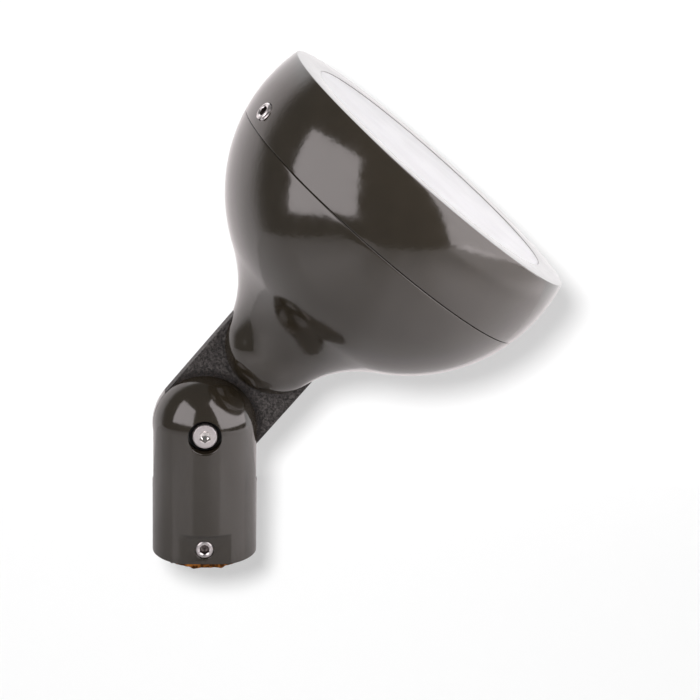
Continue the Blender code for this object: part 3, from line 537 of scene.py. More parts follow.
def turned_mesh(name, points, steps, closed=False, bend=None):
    """A mesh turned about Z from (radius, height) points, each moved by bend(radius, height, angle)."""
    shape = bmesh.new()
    rings = []
    for radius, height in points:
        if radius < TINY:
            rings.append([shape.verts.new((0.0, 0.0, height))])
            continue
        ring = []
        for step in range(steps):
            angle = 2 * math.pi * step / steps
            across, up = bend(radius, height, angle) if bend else (radius, height)
            ring.append(shape.verts.new((across * math.cos(angle), across * math.sin(angle), up)))
        rings.append(ring)
    pairs = list(zip(rings, rings[1:]))
    if closed:
        pairs.append((rings[-1], rings[0]))
    for lower, upper in pairs:
        for step in range(steps):
            after = (step + 1) % steps
            corners = [lower[step % len(lower)], lower[after % len(lower)]]
            corners += [upper[after % len(upper)], upper[step % len(upper)]]
            shape.faces.new(list(dict.fromkeys(corners)))
    return to_mesh(name, shape)


def to_mesh(name, shape):
    bmesh.ops.recalc_face_normals(shape, faces=shape.faces)
    mesh = bpy.data.meshes.new(name)
    shape.to_mesh(mesh)
    shape.free()
    return mesh


def box_mesh(low, high):
    low = Vector(low)
    high = Vector(high)
    size = Matrix.Diagonal((*(high - low), 1.0))
    shape = bmesh.new()
    bmesh.ops.create_cube(shape, size=1.0, matrix=Matrix.Translation((low + high) / 2) @ size)
    return to_mesh("box", shape)


def rod_mesh(radius, start, end, sides=48):
    """A rod between two points."""
    start = Vector(start)
    end = Vector(end)
    turn = (end - start).to_track_quat("Z", "Y").to_matrix().to_4x4()
    shape = bmesh.new()
    bmesh.ops.create_cone(
        shape,
        cap_ends=True,
        segments=sides,
        radius1=radius,
        radius2=radius,
        depth=(end - start).length,
        matrix=Matrix.Translation((start + end) / 2) @ turn,
    )
    return to_mesh("rod", shape)


def hex_radius(across_flats):
    """The corner radius of a hexagon."""
    return across_flats / 2 / math.cos(math.radians(30))


def hex_prism(across_flats, low, high):
    return rod_mesh(hex_radius(across_flats), (0, 0, low), (0, 0, high), 6)


def arc(centre, radius, start, end, count):
    """(x, y) points along an arc, from angles in degrees."""
    points = []
    for degrees in spread(start, end, count):
        angle = math.radians(degrees)
        points.append((centre[0] + radius * math.cos(angle), centre[1] + radius * math.sin(angle)))
    return points


def thread(crest, depth, pitch, start, end):
    """A bend that cuts a screw thread between two heights. A negative depth cuts outward, for a nut."""

    def bend(radius, height, angle):
        if abs(radius - crest) > TINY or not start < height < end:
            return radius, height
        phase = (height / pitch - angle / (2 * math.pi)) % 1.0
        return radius - depth * abs(2 * phase - 1), height

    return bend


def add_object(name, data, place=Matrix.Identity(4)):
    added = bpy.data.objects.new(name, data)
    SCENE.collection.objects.link(added)
    added.matrix_world = place
    return added


def cut(piece, *tools, place=None):
    """Cuts the tools' shapes out of the piece.

    A tool is a mesh and its place, or a mesh alone, which has the given place or the piece's own.
    """
    helpers = []
    for tool in tools:
        alone = (tool, place or piece.matrix_world)
        helper = add_object("tool", *(tool if isinstance(tool, tuple) else alone))
        helpers.append(helper)
        modifier = piece.modifiers.new("cut", "BOOLEAN")
        modifier.solver = "EXACT"
        modifier.object = helper
    graph = bpy.context.evaluated_depsgraph_get()
    carved = bpy.data.meshes.new_from_object(piece.evaluated_get(graph))
    piece.modifiers.clear()
    piece.data = carved
    for helper in helpers:
        bpy.data.objects.remove(helper, do_unlink=True)


def finish_piece(piece, body, slot, *nodes, sharp=35, settle=True, finish=None):
    """Shades the piece, gives it its slot's material or another, and lets it stand for its CAD nodes.

    A settled piece has its place in its mesh, as the CAD nodes have. A turned one keeps its own axes.
    """
    mesh = piece.data
    if settle:
        mesh.transform(piece.matrix_world)
        piece.matrix_world = Matrix.Identity(4)
    mesh.materials.clear()
    mesh.materials.append(MATERIALS[finish or slot])
    mesh.shade_smooth()
    mesh.set_sharp_from_angle(angle=math.radians(sharp))
    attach(piece, body)
    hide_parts(*nodes)


AT_PIVOT = Matrix.Translation((0.0, 0.0, PIVOT_HEIGHT))
FACING_FRONT = turned(90, "X")
FACING_BACK = turned(-90, "X")
OUTWARD = turned(90, "Y")
HALF_STEP = Matrix.Rotation(math.pi / SHELL_STEPS, 4, "Z")
HEAD_PLACE = AT_PIVOT @ Matrix.Rotation(math.pi / 2 - REST_TILT, 4, "Y")


# Stem bushing and knuckle


def bushing_bend():
    """Cuts the pipe thread in the bore and gives the lower edge its lumps and rough cast line."""
    bore = thread(BUSHING_BORE, -PIPE_THREAD_DEPTH, PIPE_PITCH, 0.5 * MM, BUSHING_HEIGHT - 0.5 * MM)
    period = 2 * math.pi / LUMP_COUNT

    def bend(radius, height, angle):
        radius, height = bore(radius, height, angle)
        if height > COLLAR_CAST_HEIGHT:
            return radius, height
        from_lump = ((angle - LUMP_PLACE + period / 2) % period - period / 2) / LUMP_HALF_WIDTH
        lump = LUMP_DEPTH * math.exp(-(from_lump**2))
        wave = math.sin(5 * angle + 0.7) * math.sin(17 * angle) + 0.6 * math.sin(41 * angle)
        share = 1.0 - height / COLLAR_CAST_HEIGHT
        return radius, height + (COLLAR_EDGE - lump + COLLAR_UNEVEN * wave) * share

    return bend


def make_bushing():
    """Brass bushing with a pipe thread, a groove for the set screw's tip and a rough, lumpy collar."""
    reach = SET_SCREW_HOLE + 0.3 * MM
    groove = BUSHING_RADIUS - BUSHING_GROOVE_DEPTH
    corners = [
        (BUSHING_RADIUS, BUSHING_HEIGHT, 0.6 * MM),
        (BUSHING_RADIUS, STEM_SCREW_HEIGHT + reach, 0.2 * MM),
        (groove, STEM_SCREW_HEIGHT + reach, 0.2 * MM),
        (groove, STEM_SCREW_HEIGHT - reach, 0.2 * MM),
        (BUSHING_RADIUS, STEM_SCREW_HEIGHT - reach, 0.2 * MM),
        (BUSHING_RADIUS, COLLAR_TOP),
        (COLLAR_RADIUS, COLLAR_TOP, 0.3 * MM),
        (COLLAR_RADIUS, COLLAR_CAST_HEIGHT),
        (COLLAR_RADIUS, 0.0, 0.35 * MM),
        (BUSHING_BORE + 2.2 * MM, 0.0),
        (BUSHING_BORE + 1.2 * MM, 0.0, 0.3 * MM),
        (BUSHING_BORE + 0.2 * MM, COLLAR_CAST_HEIGHT),
    ]
    profile = rounded(corners) + straight(BUSHING_BORE, 1.6 * MM, BUSHING_HEIGHT, 90)
    mesh = turned_mesh("bushing", profile, RING_STEPS, closed=True, bend=bushing_bend())
    finish_piece(add_object("brass_bushing", mesh), "stem", "brass", "stem_bushing", sharp=50)


def slot_edge_tool(centre, radius, half_width, rounding, start, end, lower=None):
    """Rounds the two edges that a slot leaves on a sphere, along an arc in the XZ plane.

    With lower given, the tool goes on straight down from the arc's ends to that height, and runs
    out of the wall just below it.
    """
    rim = math.sqrt(radius**2 - (half_width + rounding / 2) ** 2) + 0.04 * MM
    edge = arc((rim - rounding, half_width + rounding), rounding, -84, -6, 9)
    inner = (rim - rounding - 1.2 * MM, half_width - 0.25 * MM)
    outer = (rim + 1.5 * MM, half_width + rounding + 0.25 * MM)
    side = [inner] + edge + [outer]
    section = side + [(across, -y) for across, y in reversed(side)]
    frames = [(centre, angle, 0.0) for angle in spread(start, end, 73)]
    if lower is not None:
        straights = [(height, 0.0) for height in spread(centre, lower, 13)[1:]]
        run_out = [(lower - index * 0.3 * MM, index * 0.4 * MM) for index in range(1, 7)]
        sides = straights + run_out
        frames = [(height, start, out) for height, out in reversed(sides)] + frames
        frames += [(height, end, out) for height, out in sides]
    shape = bmesh.new()
    rings = []
    for height, angle, out in frames:
        along = Vector((math.cos(math.radians(angle)), 0.0, math.sin(math.radians(angle))))
        origin = Vector((0.0, 0.0, height)) + along * out
        points = [origin + along * across + Vector((0.0, y, 0.0)) for across, y in section]
        rings.append([shape.verts.new(point) for point in points])
    for one, two in zip(rings, rings[1:]):
        for index in range(len(section)):
            after = (index + 1) % len(section)
            shape.faces.new((one[index], one[after], two[after], two[index]))
    shape.faces.new(rings[0])
    shape.faces.new(rings[-1][::-1])
    return to_mesh("slot_edge", shape)


def flared_hole(radius, floor, mouth, flare, steps=96):
    """A round hole's shape along Z, from its floor to a mouth that widens by the flare's radius."""
    centre = (radius + flare, mouth - flare)
    edge = arc(centre, flare, 180, 96, 9)
    points = [(0.0, floor), (radius, floor)] + edge
    points += [(radius + flare * 1.2, mouth + 3 * MM), (0.0, mouth + 3 * MM)]
    return turned_mesh("hole", points, steps)


def knuckle_profile():
    dome = arc((0.0, PIVOT_HEIGHT), KNUCKLE_RADIUS, 90, 0, 61)
    side = straight(KNUCKLE_RADIUS, PIVOT_HEIGHT - 2 * MM, KNUCKLE_FOOT + 2 * MM, 12)
    corners = [
        side[-1],
        (KNUCKLE_RADIUS, KNUCKLE_FOOT, 0.5 * MM),
        (SOCKET_RADIUS, KNUCKLE_FOOT, 0.4 * MM),
        (SOCKET_RADIUS, SOCKET_TOP, 0.4 * MM),
        (0.0, SOCKET_TOP),
    ]
    return dome + side + rounded(corners)[1:]


def make_knuckle():
    """Domed fork with its slot, bolt holes, flat pad, set screw hole and wire hole."""
    mesh = turned_mesh("knuckle", knuckle_profile(), SHELL_STEPS)
    knuckle = add_object("knuckle_shell", mesh, HALF_STEP)
    reach = KNUCKLE_RADIUS + 5 * MM
    slot = box_mesh((-reach, -SLOT_HALF_WIDTH, SLOT_FLOOR), (reach, SLOT_HALF_WIDTH, PIVOT_HEIGHT + reach))
    edges = slot_edge_tool(PIVOT_HEIGHT, KNUCKLE_RADIUS, SLOT_HALF_WIDTH, 0.35 * MM, 180, 0, SLOT_FLOOR)
    pad = box_mesh((-reach, -reach, 0.0), (reach, -PAD_DISTANCE, PAD_TOP))
    front = AT_PIVOT @ FACING_FRONT
    counterbore = flared_hole(COUNTERBORE_RADIUS, COUNTERBORE_FLOOR, COUNTERBORE_MOUTH, 0.45 * MM)
    pocket = hex_prism(NUT_POCKET_ACROSS_FLATS, NUT_POCKET_FLOOR, reach)
    screw_hole = flared_hole(SET_SCREW_HOLE, SOCKET_RADIUS / 2, PAD_DISTANCE + 0.02 * MM, 0.2 * MM)
    screw_place = Matrix.Translation((0.0, 0.0, STEM_SCREW_HEIGHT)) @ FACING_FRONT
    wire_profile = [
        (0.0, SLOT_FLOOR + MM),
        (WIRE_HOLE_RADIUS, SLOT_FLOOR + MM),
        (WIRE_HOLE_RADIUS, SOCKET_TOP + 1.5 * MM),
        (WIRE_HOLE_COUNTERBORE, SOCKET_TOP + 1.5 * MM),
        (WIRE_HOLE_COUNTERBORE, SOCKET_TOP - MM),
        (0.0, SOCKET_TOP - MM),
    ]
    cut(
        knuckle,
        slot,
        edges,
        pad,
        (rod_mesh(BOLT_HOLE_RADIUS, (0, -reach, 0), (0, reach, 0)), AT_PIVOT),
        (counterbore, front),
        (pocket, AT_PIVOT @ FACING_BACK),
        (screw_hole, screw_place),
        turned_mesh("wire_hole", wire_profile, 48),
        place=Matrix.Identity(4),
    )
    finish_piece(knuckle, "knuckle", "bronze_coat", "knuckle_body")


# Screws, bolt and nut


def set_screw_mesh(length):
    """A headless screw from z = 0 down, with a raised crest round its dished face, and a chamfered point."""
    face = [
        (1.9 * MM, -SET_SCREW_DISH),
        (SET_SCREW_CREST, 0.14 * MM, 0.9 * MM),
        (SET_SCREW_RADIUS, -0.30 * MM),
        (SET_SCREW_RADIUS, -0.6 * MM),
    ]
    thread_end = -length + SET_SCREW_POINT
    points = [(0.0, -SET_SCREW_DISH)] + rounded(face, steps=8)
    points += straight(SET_SCREW_RADIUS, -0.7 * MM, thread_end, 60)
    points += [(SET_SCREW_RADIUS - 0.8 * MM, -length), (0.0, -length)]
    bend = thread(SET_SCREW_RADIUS, SET_SCREW_THREAD_DEPTH, SET_SCREW_PITCH, thread_end, -0.65 * MM)
    return turned_mesh("set_screw", points, SCREW_STEPS, bend=bend)


def cut_socket(screw, across_flats, top, depth):
    """A hex socket with a slightly chamfered mouth and a cone at its bottom."""
    corner = hex_radius(across_flats)
    above = top + MM
    wide = corner * 0.98
    mouth = [(0.0, top - corner * 0.9), (wide, top + 0.02 * MM), (wide, above), (0.0, above)]
    cone = [(0.0, top - depth - corner * 0.4), (corner * 0.82, top - depth + 0.1 * MM), (0.0, top)]
    cut(
        screw,
        hex_prism(across_flats, top - depth, above),
        turned_mesh("cone", cone, 36),
        turned_mesh("mouth", mouth, SCREW_STEPS),
    )


def line_socket(screw, across_flats, top, finish):
    """Gives the faces inside the socket their own material, such as darker steel as painted shade."""
    screw.data.materials.append(MATERIALS[finish])
    for face in screw.data.polygons:
        x, y, z = face.center
        if math.hypot(x, y) < hex_radius(across_flats) and z < top - SOCKET_LIP:
            face.material_index = 1


def make_set_screw(name, body, node, place, length):
    screw = add_object(name, set_screw_mesh(length), place)
    cut_socket(screw, SET_SCREW_SOCKET, -SET_SCREW_DISH, SET_SCREW_SOCKET_DEPTH)
    finish_piece(screw, body, "stainless", node, sharp=28, settle=False, finish="screw_steel")
    # Painted shade: the socket's inner faces get the darker steel.
    line_socket(screw, SET_SCREW_SOCKET, -SET_SCREW_DISH, "shaded_socket_steel")


def ring_screw_place(angle, distance):
    """A place on the axis of the ring's screw at this angle, facing outward."""
    turn = HEAD_PLACE @ Matrix.Rotation(angle, 4, "Z")
    return turn @ Matrix.Translation((distance, 0.0, RING_SCREW_STATION)) @ OUTWARD


def make_set_screws():
    stem_place = Matrix.Translation((0.0, -STEM_SCREW_FACE, STEM_SCREW_HEIGHT)) @ FACING_FRONT
    length = STEM_SCREW_FACE - STEM_SCREW_TIP
    make_set_screw("stem_screw", "knuckle", "stem_set_screw", stem_place, length)
    length = RING_SCREW_FACE - RING_SCREW_TIP
    for number, angle in enumerate(RING_SCREW_ANGLES, 1):
        place = ring_screw_place(angle, RING_SCREW_FACE)
        make_set_screw(f"rim_screw_{number}", "head", f"ring_screw_{number}", place, length)


def make_bolt():
    """Button head bolt with a hex socket and a threaded end."""
    top = BOLT_HEAD_SEAT + BOLT_HEAD_HEIGHT
    fine = 0.1 * MM
    corners = [
        (0.0, top),
        (BOLT_HEAD_RADIUS * 0.5, top),
        (BOLT_HEAD_RADIUS * 0.93, top - 0.14 * MM, 0.5 * MM),
        (BOLT_HEAD_RADIUS, top - 0.7 * MM, 0.4 * MM),
        (BOLT_HEAD_RADIUS, BOLT_HEAD_SEAT, 0.2 * MM),
        (BOLT_RADIUS, BOLT_HEAD_SEAT, 0.2 * MM),
        (BOLT_RADIUS, 8 * MM),
        (BOLT_RADIUS, BOLT_THREAD_START + fine),
    ]
    points = rounded(corners, steps=8) + straight(BOLT_RADIUS, BOLT_THREAD_START, -BOLT_END + BOLT_POINT, 110)
    points += [(BOLT_RADIUS - BOLT_POINT, -BOLT_END), (0.0, -BOLT_END)]
    thread_end = -BOLT_END + BOLT_POINT + fine
    bend = thread(BOLT_RADIUS, BOLT_THREAD_DEPTH, BOLT_PITCH, thread_end, BOLT_THREAD_START - fine)
    mesh = turned_mesh("bolt", points, SCREW_STEPS, bend=bend)
    bolt = add_object("button_bolt", mesh, AT_PIVOT @ FACING_FRONT)
    cut_socket(bolt, BOLT_SOCKET, top, BOLT_SOCKET_DEPTH)
    finish_piece(bolt, "knuckle", "stainless", "pivot_bolt", sharp=28, settle=False)
    line_socket(bolt, BOLT_SOCKET, top, "polished_steel")


def make_nut():
    """Hex nut, its corners turned off at both ends."""
    prism = hex_prism(NUT_ACROSS_FLATS, NUT_START, NUT_END)
    nut = add_object("hex_nut", prism, AT_PIVOT @ FACING_BACK)
    corner = hex_radius(NUT_ACROSS_FLATS)
    outline = [
        (corner * 0.9, NUT_END + TINY),
        (corner + TINY, NUT_END - 0.6 * MM),
        (corner + TINY, NUT_START + 0.6 * MM),
        (corner * 0.9, NUT_START - TINY),
        (corner * 2, NUT_START - TINY),
        (corner * 2, NUT_END + TINY),
    ]
    chamfers = turned_mesh("chamfers", outline, 96, closed=True)
    bore = rod_mesh(BOLT_HOLE_RADIUS, (0, 0, NUT_START - MM), (0, 0, NUT_END + MM))
    cut(nut, chamfers, bore)
    finish_piece(nut, "knuckle", "stainless", "pivot_nut", sharp=20, settle=False)


# Tilting arm


def arm_curve(offset):
    """The arm's outline in its own plane, drawn in by the offset."""
    edge = ARM_HALF_WIDTH - offset
    tail = ARM_TAIL - offset
    return [(edge, tail), (-edge, tail)] + arc((0.0, 0.0), edge, 180, 360, 97)


def crown_end(shape):
    """Rounds the rim of the arm's end across its thickness, so that it fills out the knuckle's dome."""
    everything = shape.verts[:] + shape.edges[:] + shape.faces[:]
    bmesh.ops.bisect_plane(shape, geom=everything, plane_co=(0, 0, 0), plane_no=(0, 0, 1))
    for vertex in shape.verts:
        x, y, z = vertex.co
        reach = math.hypot(x, y)
        limit = math.sqrt(ARM_HALF_WIDTH**2 - z**2)
        if y < TINY and reach > limit:
            vertex.co = (x * limit / reach, y * limit / reach, z)


def gloss_rim(arm):
    """The rim of the arm's end has the knuckle's gloss paint."""
    arm.data.materials.append(MATERIALS["bronze_coat"])
    own_frame = HEAD_PLACE.inverted()
    for face in arm.data.polygons:
        x, y, z = own_frame @ face.center
        if z < 0.0 and math.hypot(x, z) > ARM_RIM_START:
            face.material_index = 1


def make_arm():
    """Flat arm with rounded edges, washer recesses, a wireway and two screw holes."""
    curve = bpy.data.curves.new("arm", "CURVE")
    curve.dimensions = "2D"
    curve.fill_mode = "BOTH"
    curve.extrude = ARM_THICKNESS / 2 - ARM_EDGE
    curve.bevel_depth = ARM_EDGE
    curve.bevel_resolution = 4
    hole = arc((0.0, 0.0), BOLT_HOLE_RADIUS + ARM_EDGE, 0, 352.5, 48)
    for points in (arm_curve(ARM_EDGE), hole):
        spline = curve.splines.new("POLY")
        spline.points.add(len(points) - 1)
        for point, (x, y) in zip(spline.points, points):
            point.co = (x, y, 0.0, 1.0)
        spline.use_cyclic_u = True
    guide = add_object("guide", curve)
    graph = bpy.context.evaluated_depsgraph_get()
    shape = bmesh.new()
    shape.from_mesh(bpy.data.meshes.new_from_object(guide.evaluated_get(graph)))
    bmesh.ops.remove_doubles(shape, verts=shape.verts, dist=0.002 * MM)
    bpy.data.objects.remove(guide, do_unlink=True)
    crown_end(shape)
    arm = add_object("arm_plate", to_mesh("arm", shape), HEAD_PLACE @ FACING_FRONT)
    tail = Vector((0.0, 0.0, ARM_TAIL))
    along = (WIREWAY_EXIT - tail).normalized()
    tools = [rod_mesh(WIREWAY_RADIUS, tail - along * 4 * MM, WIREWAY_EXIT + along * 8 * MM)]
    for side in (-1, 1):
        floor = (0, side * ARM_RECESS_FLOOR, 0)
        tools.append(rod_mesh(ARM_RECESS_RADIUS, floor, (0, side * ARM_THICKNESS, 0), 64))
        x = side * ARM_SCREW_OFFSET
        tools.append(rod_mesh(ARM_SCREW_HOLE, (x, 0, ARM_SCREW_END), (x, 0, ARM_TAIL + MM)))
    cut(arm, *tools, place=HEAD_PLACE)
    finish_piece(arm, "head", "textured_coat", "tilt_arm")
    gloss_rim(arm)


# Head


def bowl_radius(station, wall=0.0):
    """Radius of the bowl's ellipse at a station along the head's axis."""
    reach = (station - BOWL_CENTRE) / (BOWL_HALF_LENGTH - wall)
    return (BOWL_RADIUS - wall) * math.sqrt(max(0.0, 1.0 - reach * reach))


def bowl_slope(station):
    reach = BOWL_CENTRE - station
    return BOWL_RADIUS / BOWL_HALF_LENGTH * reach / math.sqrt(BOWL_HALF_LENGTH**2 - reach**2)


def bowl_points(start, end, count, wall=0.0):
    return [(bowl_radius(station, wall), station) for station in spread(start, end, count)]


def flare_points(count):
    """The hollow curve from the bowl's end down to the neck."""
    length = FLARE_END - FLARE_START
    drop = NECK_CENTRE - FLARE_START
    neck_end = math.sqrt(NECK_RADIUS**2 - drop**2)
    neck_slope = drop / neck_end
    points = []
    for t in spread(1.0, 0.0, count):
        start_weight = 2 * t**3 - 3 * t**2 + 1
        start_tangent = t**3 - 2 * t**2 + t
        end_tangent = t**3 - t**2
        radius = start_weight * neck_end + (1 - start_weight) * bowl_radius(FLARE_END)
        radius += length * (start_tangent * neck_slope + end_tangent * bowl_slope(FLARE_END))
        points.append((radius, FLARE_START + length * t))
    return points


def neck_points(count):
    """The round end of the neck, from the flare to its tip on the axis."""
    first = math.degrees(math.acos((NECK_CENTRE - FLARE_START) / NECK_RADIUS))
    return arc((0.0, NECK_CENTRE), NECK_RADIUS, first - 90, -90, count)


def housing_profile():
    """From the middle of the floor up the inside, over the spigot and down the outside."""
    inside = [(0.0, HOUSING_FLOOR), (HOUSING_FLOOR_RADIUS, HOUSING_FLOOR)]
    inside += bowl_points(INNER_BOWL_START, SPIGOT_ROOT - BOWL_WALL, 16, BOWL_WALL)
    inside += [(SPIGOT_INNER, SPIGOT_ROOT)]
    corners = [
        (SPIGOT_INNER, SPIGOT_ROOT + MM),
        (SPIGOT_INNER, SPIGOT_END, 0.4 * MM),
        (SPIGOT_OUTER, SPIGOT_END, 0.4 * MM),
    ]
    fine = 0.15 * MM
    for floor, back, front in (SCREW_GROOVE, SEAL_GROOVE):
        corners += [(SPIGOT_OUTER, front, fine), (floor, front, fine)]
        corners += [(floor, back, fine), (SPIGOT_OUTER, back, fine)]
    corners += [
        (SPIGOT_OUTER, SEAM, fine),
        (bowl_radius(SEAM), SEAM, 0.5 * MM),
        (bowl_radius(SEAM - 2 * MM), SEAM - 2 * MM),
    ]
    outside = bowl_points(SEAM - 2 * MM, FLARE_END, 60)
    return inside + rounded(corners) + outside[1:] + flare_points(40)[1:] + neck_points(40)[1:]


def make_housing():
    """Bowl with a slotted round neck that takes the arm's tail."""
    mesh = turned_mesh("housing", housing_profile(), SHELL_STEPS)
    housing = add_object("bowl_housing", mesh, HEAD_PLACE @ HALF_STEP)
    reach = NECK_RADIUS + 5 * MM
    low = (-reach, -NECK_SLOT_HALF_WIDTH, NECK_CENTRE - reach)
    slot = box_mesh(low, (reach, NECK_SLOT_HALF_WIDTH, NECK_SLOT_TOP))
    edges = slot_edge_tool(NECK_CENTRE, NECK_RADIUS, NECK_SLOT_HALF_WIDTH, 0.45 * MM, -10, -170)
    holes = [rod_mesh(GLAND_HOLE_RADIUS, (0, 0, ARM_TAIL), (0, 0, HOUSING_FLOOR + MM))]
    for x in (-ARM_SCREW_OFFSET, ARM_SCREW_OFFSET):
        holes.append(rod_mesh(ARM_SCREW_HOLE, (x, 0, ARM_TAIL), (x, 0, HOUSING_FLOOR + MM)))
    cut(housing, slot, edges, *holes, place=HEAD_PLACE)
    finish_piece(housing, "head", "bronze_coat", "rear_housing")


def ring_profile():
    start = SEAM + SEAM_GAP
    side = bowl_points(RIM - 2 * MM, start + 2 * MM, 30)
    corners = [
        side[-1],
        (bowl_radius(start), start, 0.3 * MM),
        (RING_BORE, start, 0.3 * MM),
        (RING_BORE, RING_STEP, 0.2 * MM),
        (RING_INNER, RING_STEP, 0.2 * MM),
        (RING_INNER, LENS_LEDGE_BACK, 0.2 * MM),
        (LENS_LEDGE_RADIUS, LENS_LEDGE_BACK, 0.3 * MM),
        (LENS_LEDGE_RADIUS, LENS_LEDGE_FRONT, 0.3 * MM),
        (LENS_RADIUS + 0.3 * MM, LENS_LEDGE_FRONT, 0.1 * MM),
        (LENS_RADIUS + 0.3 * MM, RIM, 0.15 * MM),
        (bowl_radius(RIM), RIM, 0.5 * MM),
        side[0],
    ]
    return side + rounded(corners)[1:-1]


def ring_bend(radius, height, angle):
    """Closes the seam a little on one side and opens it on the other."""
    share = max(0.0, 1.0 - (height - SEAM) / (2 * MM))
    return radius, height + SEAM_UNEVEN * math.cos(angle) * min(1.0, share * 1.2)


def make_ring():
    """Flared front ring with a lens rabbet and two radial set screw holes."""
    mesh = turned_mesh("ring", ring_profile(), SHELL_STEPS, closed=True, bend=ring_bend)
    ring = add_object("flared_ring", mesh, HEAD_PLACE @ HALF_STEP)
    surface = bowl_radius(RING_SCREW_STATION)
    tools = []
    for angle in RING_SCREW_ANGLES:
        hole = flared_hole(SET_SCREW_HOLE, RING_INNER, surface + 0.05 * MM, 0.2 * MM)
        tools.append((hole, ring_screw_place(angle, 0.0)))
    cut(ring, *tools)
    finish_piece(ring, "head", "bronze_coat", "front_ring")


def make_turned(name, slot, node, points, closed=False, steps=RING_STEPS, finish=None):
    """A finer turned piece of the head in place of a CAD node."""
    piece = add_object(name, turned_mesh(name, points, steps, closed), HEAD_PLACE)
    finish_piece(piece, "head", slot, node, finish=finish)


def disc(radius, back, front, edge):
    return rounded([(0.0, front), (radius, front, edge), (radius, back, edge), (0.0, back)])


def seal_profile():
    """Flat under the lens, with a thin lip round the lens's edge."""
    inner = LENS_LEDGE_RADIUS + 0.4 * MM
    lip_inner = LENS_RADIUS + 0.05 * MM
    lip_outer = LENS_RADIUS + 0.25 * MM
    back = LENS_LEDGE_FRONT + 0.05 * MM
    front = LENS_BACK - 0.1 * MM
    lip_end = LENS_FRONT - 0.05 * MM
    fine = 0.15 * MM
    corners = [(lip_inner, front), (lip_inner, lip_end), (lip_outer, lip_end), (lip_outer, back)]
    return rounded(corners + [(inner, back, fine), (inner, front, fine)], closed=True)


def make_glass():
    """The front lens on its gasket, and the lamp's own front glass."""
    lens = disc(LENS_RADIUS, LENS_BACK, LENS_FRONT, 0.12 * MM)
    make_turned("front_lens", "clear_glass", "lens", lens, finish="frosted_glass")
    make_turned("lens_seal", "grey_silicone", "lens_gasket", seal_profile(), closed=True)
    glass = disc(LAMP_GLASS_RADIUS, LAMP_GLASS_BACK, LAMP_GLASS_FRONT, 0.3 * MM)
    make_turned("lamp_window", "clear_glass", "lamp_glass", glass)


def reflector_radius(station):
    return math.sqrt(REFLECTOR_SCALE * (station - REFLECTOR_VERTEX))


def make_reflector():
    """Bowl reflector with a flange at its mouth and a short neck round the light source."""
    neck_top = REFLECTOR_VERTEX + REFLECTOR_NECK_RADIUS**2 / REFLECTOR_SCALE
    stations = [neck_top + (REFLECTOR_MOUTH - neck_top) * step**1.5 for step in spread(0.0, 1.0, 48)]
    outer = [(reflector_radius(station) + REFLECTOR_WALL, station) for station in stations]
    inner = [(reflector_radius(station), station) for station in stations]
    rim = LAMP_GLASS_RADIUS + 0.3 * MM
    points = [
        (LAMP_FLANGE_RADIUS, LAMP_FLANGE_FRONT),
        (LAMP_FLANGE_RADIUS, LAMP_FLANGE_BACK),
        (REFLECTOR_MOUTH_RADIUS + REFLECTOR_WALL, LAMP_FLANGE_BACK),
        *outer[::-1],
        (REFLECTOR_NECK_RADIUS + REFLECTOR_WALL, REFLECTOR_BACK),
        (REFLECTOR_NECK_RADIUS, REFLECTOR_BACK),
        *inner,
        (rim, REFLECTOR_MOUTH),
        (rim, LAMP_FLANGE_FRONT),
    ]
    make_turned("bowl_reflector", "reflector_coat", "lamp_reflector", points, closed=True)


def make_light_source():
    board = disc(BOARD_RADIUS, BOARD_BACK, BOARD_FRONT, 0.2 * MM)
    make_turned("round_board", "white_board", "led_board", board, steps=96)
    dome = arc((0.0, LED_BASE), LED_RADIUS, 90, 0, 25)
    dome[-1] = (LED_RADIUS, LED_BASE + 0.1 * MM)
    dome += [(LED_RADIUS - 0.1 * MM, LED_BASE), (0.0, LED_BASE)]
    make_turned("emitter_dome", "led_phosphor", "led_dome", dome, steps=96)


def paint_cad_nodes():
    """Gives every CAD node that stays its slot's procedural material."""
    slots = {part["node"]: part["material_slot"] for part in frame["record"]["subparts"]}
    for name, node in frame["nodes"].items():
        node.data.materials.clear()
        node.data.materials.append(MATERIALS[slots[name]])


# Floor, lamps and background

# The sheet's left, right, lower and upper edge, in metres in its own plane, and its depth in
# millimetres along the photograph's axis. Reflections see its colour change along a slope, and see
# it fade with the distance from a point.
SHEET_EDGES = (-1.1, 0.42, -0.42, 0.95)
SHEET_DEPTH = -105
SHEET_ALBEDO = 0.5
SHEET_GLOW = 0.445
SHEET_RAMP = (-0.25, 0.20)
SHEET_STOPS = (
    (0.0, (0.39, 0.34, 0.35)),
    (0.25, (0.50, 0.43, 0.44)),
    (0.70, (0.56, 0.48, 0.49)),
    (0.80, (0.66, 0.60, 0.61)),
    (0.87, (0.79, 0.77, 0.79)),
)
SHEET_MIDDLE = (0.05, 0.10, 0.0)
SHEET_FADE = ((0.22, 0.0), (0.39, 0.18), (0.49, 0.42), (0.64, 0.76), (0.93, 0.97))

# The table's left, right, front and back edge in metres, and its glow to the right and to the back
TABLE_EDGES = (-0.36, 0.372, -0.44, 0.14)
TABLE_HEIGHT = -0.5 * MM
TABLE_ALBEDO = 0.55
TABLE_IOR = 1.45
TABLE_RAMP = (-0.36, 0.30)
TABLE_STOPS = (
    (0.39, 0.11), (0.48, 0.01), (0.56, 0.02), (0.61, 0.15),
    (0.71, 0.13), (0.76, 0.25), (0.91, 0.42), (0.955, 0.92),
)
TABLE_BACK_RAMP = (-0.05, 0.05)
TABLE_BACK_GLOW = 0.16

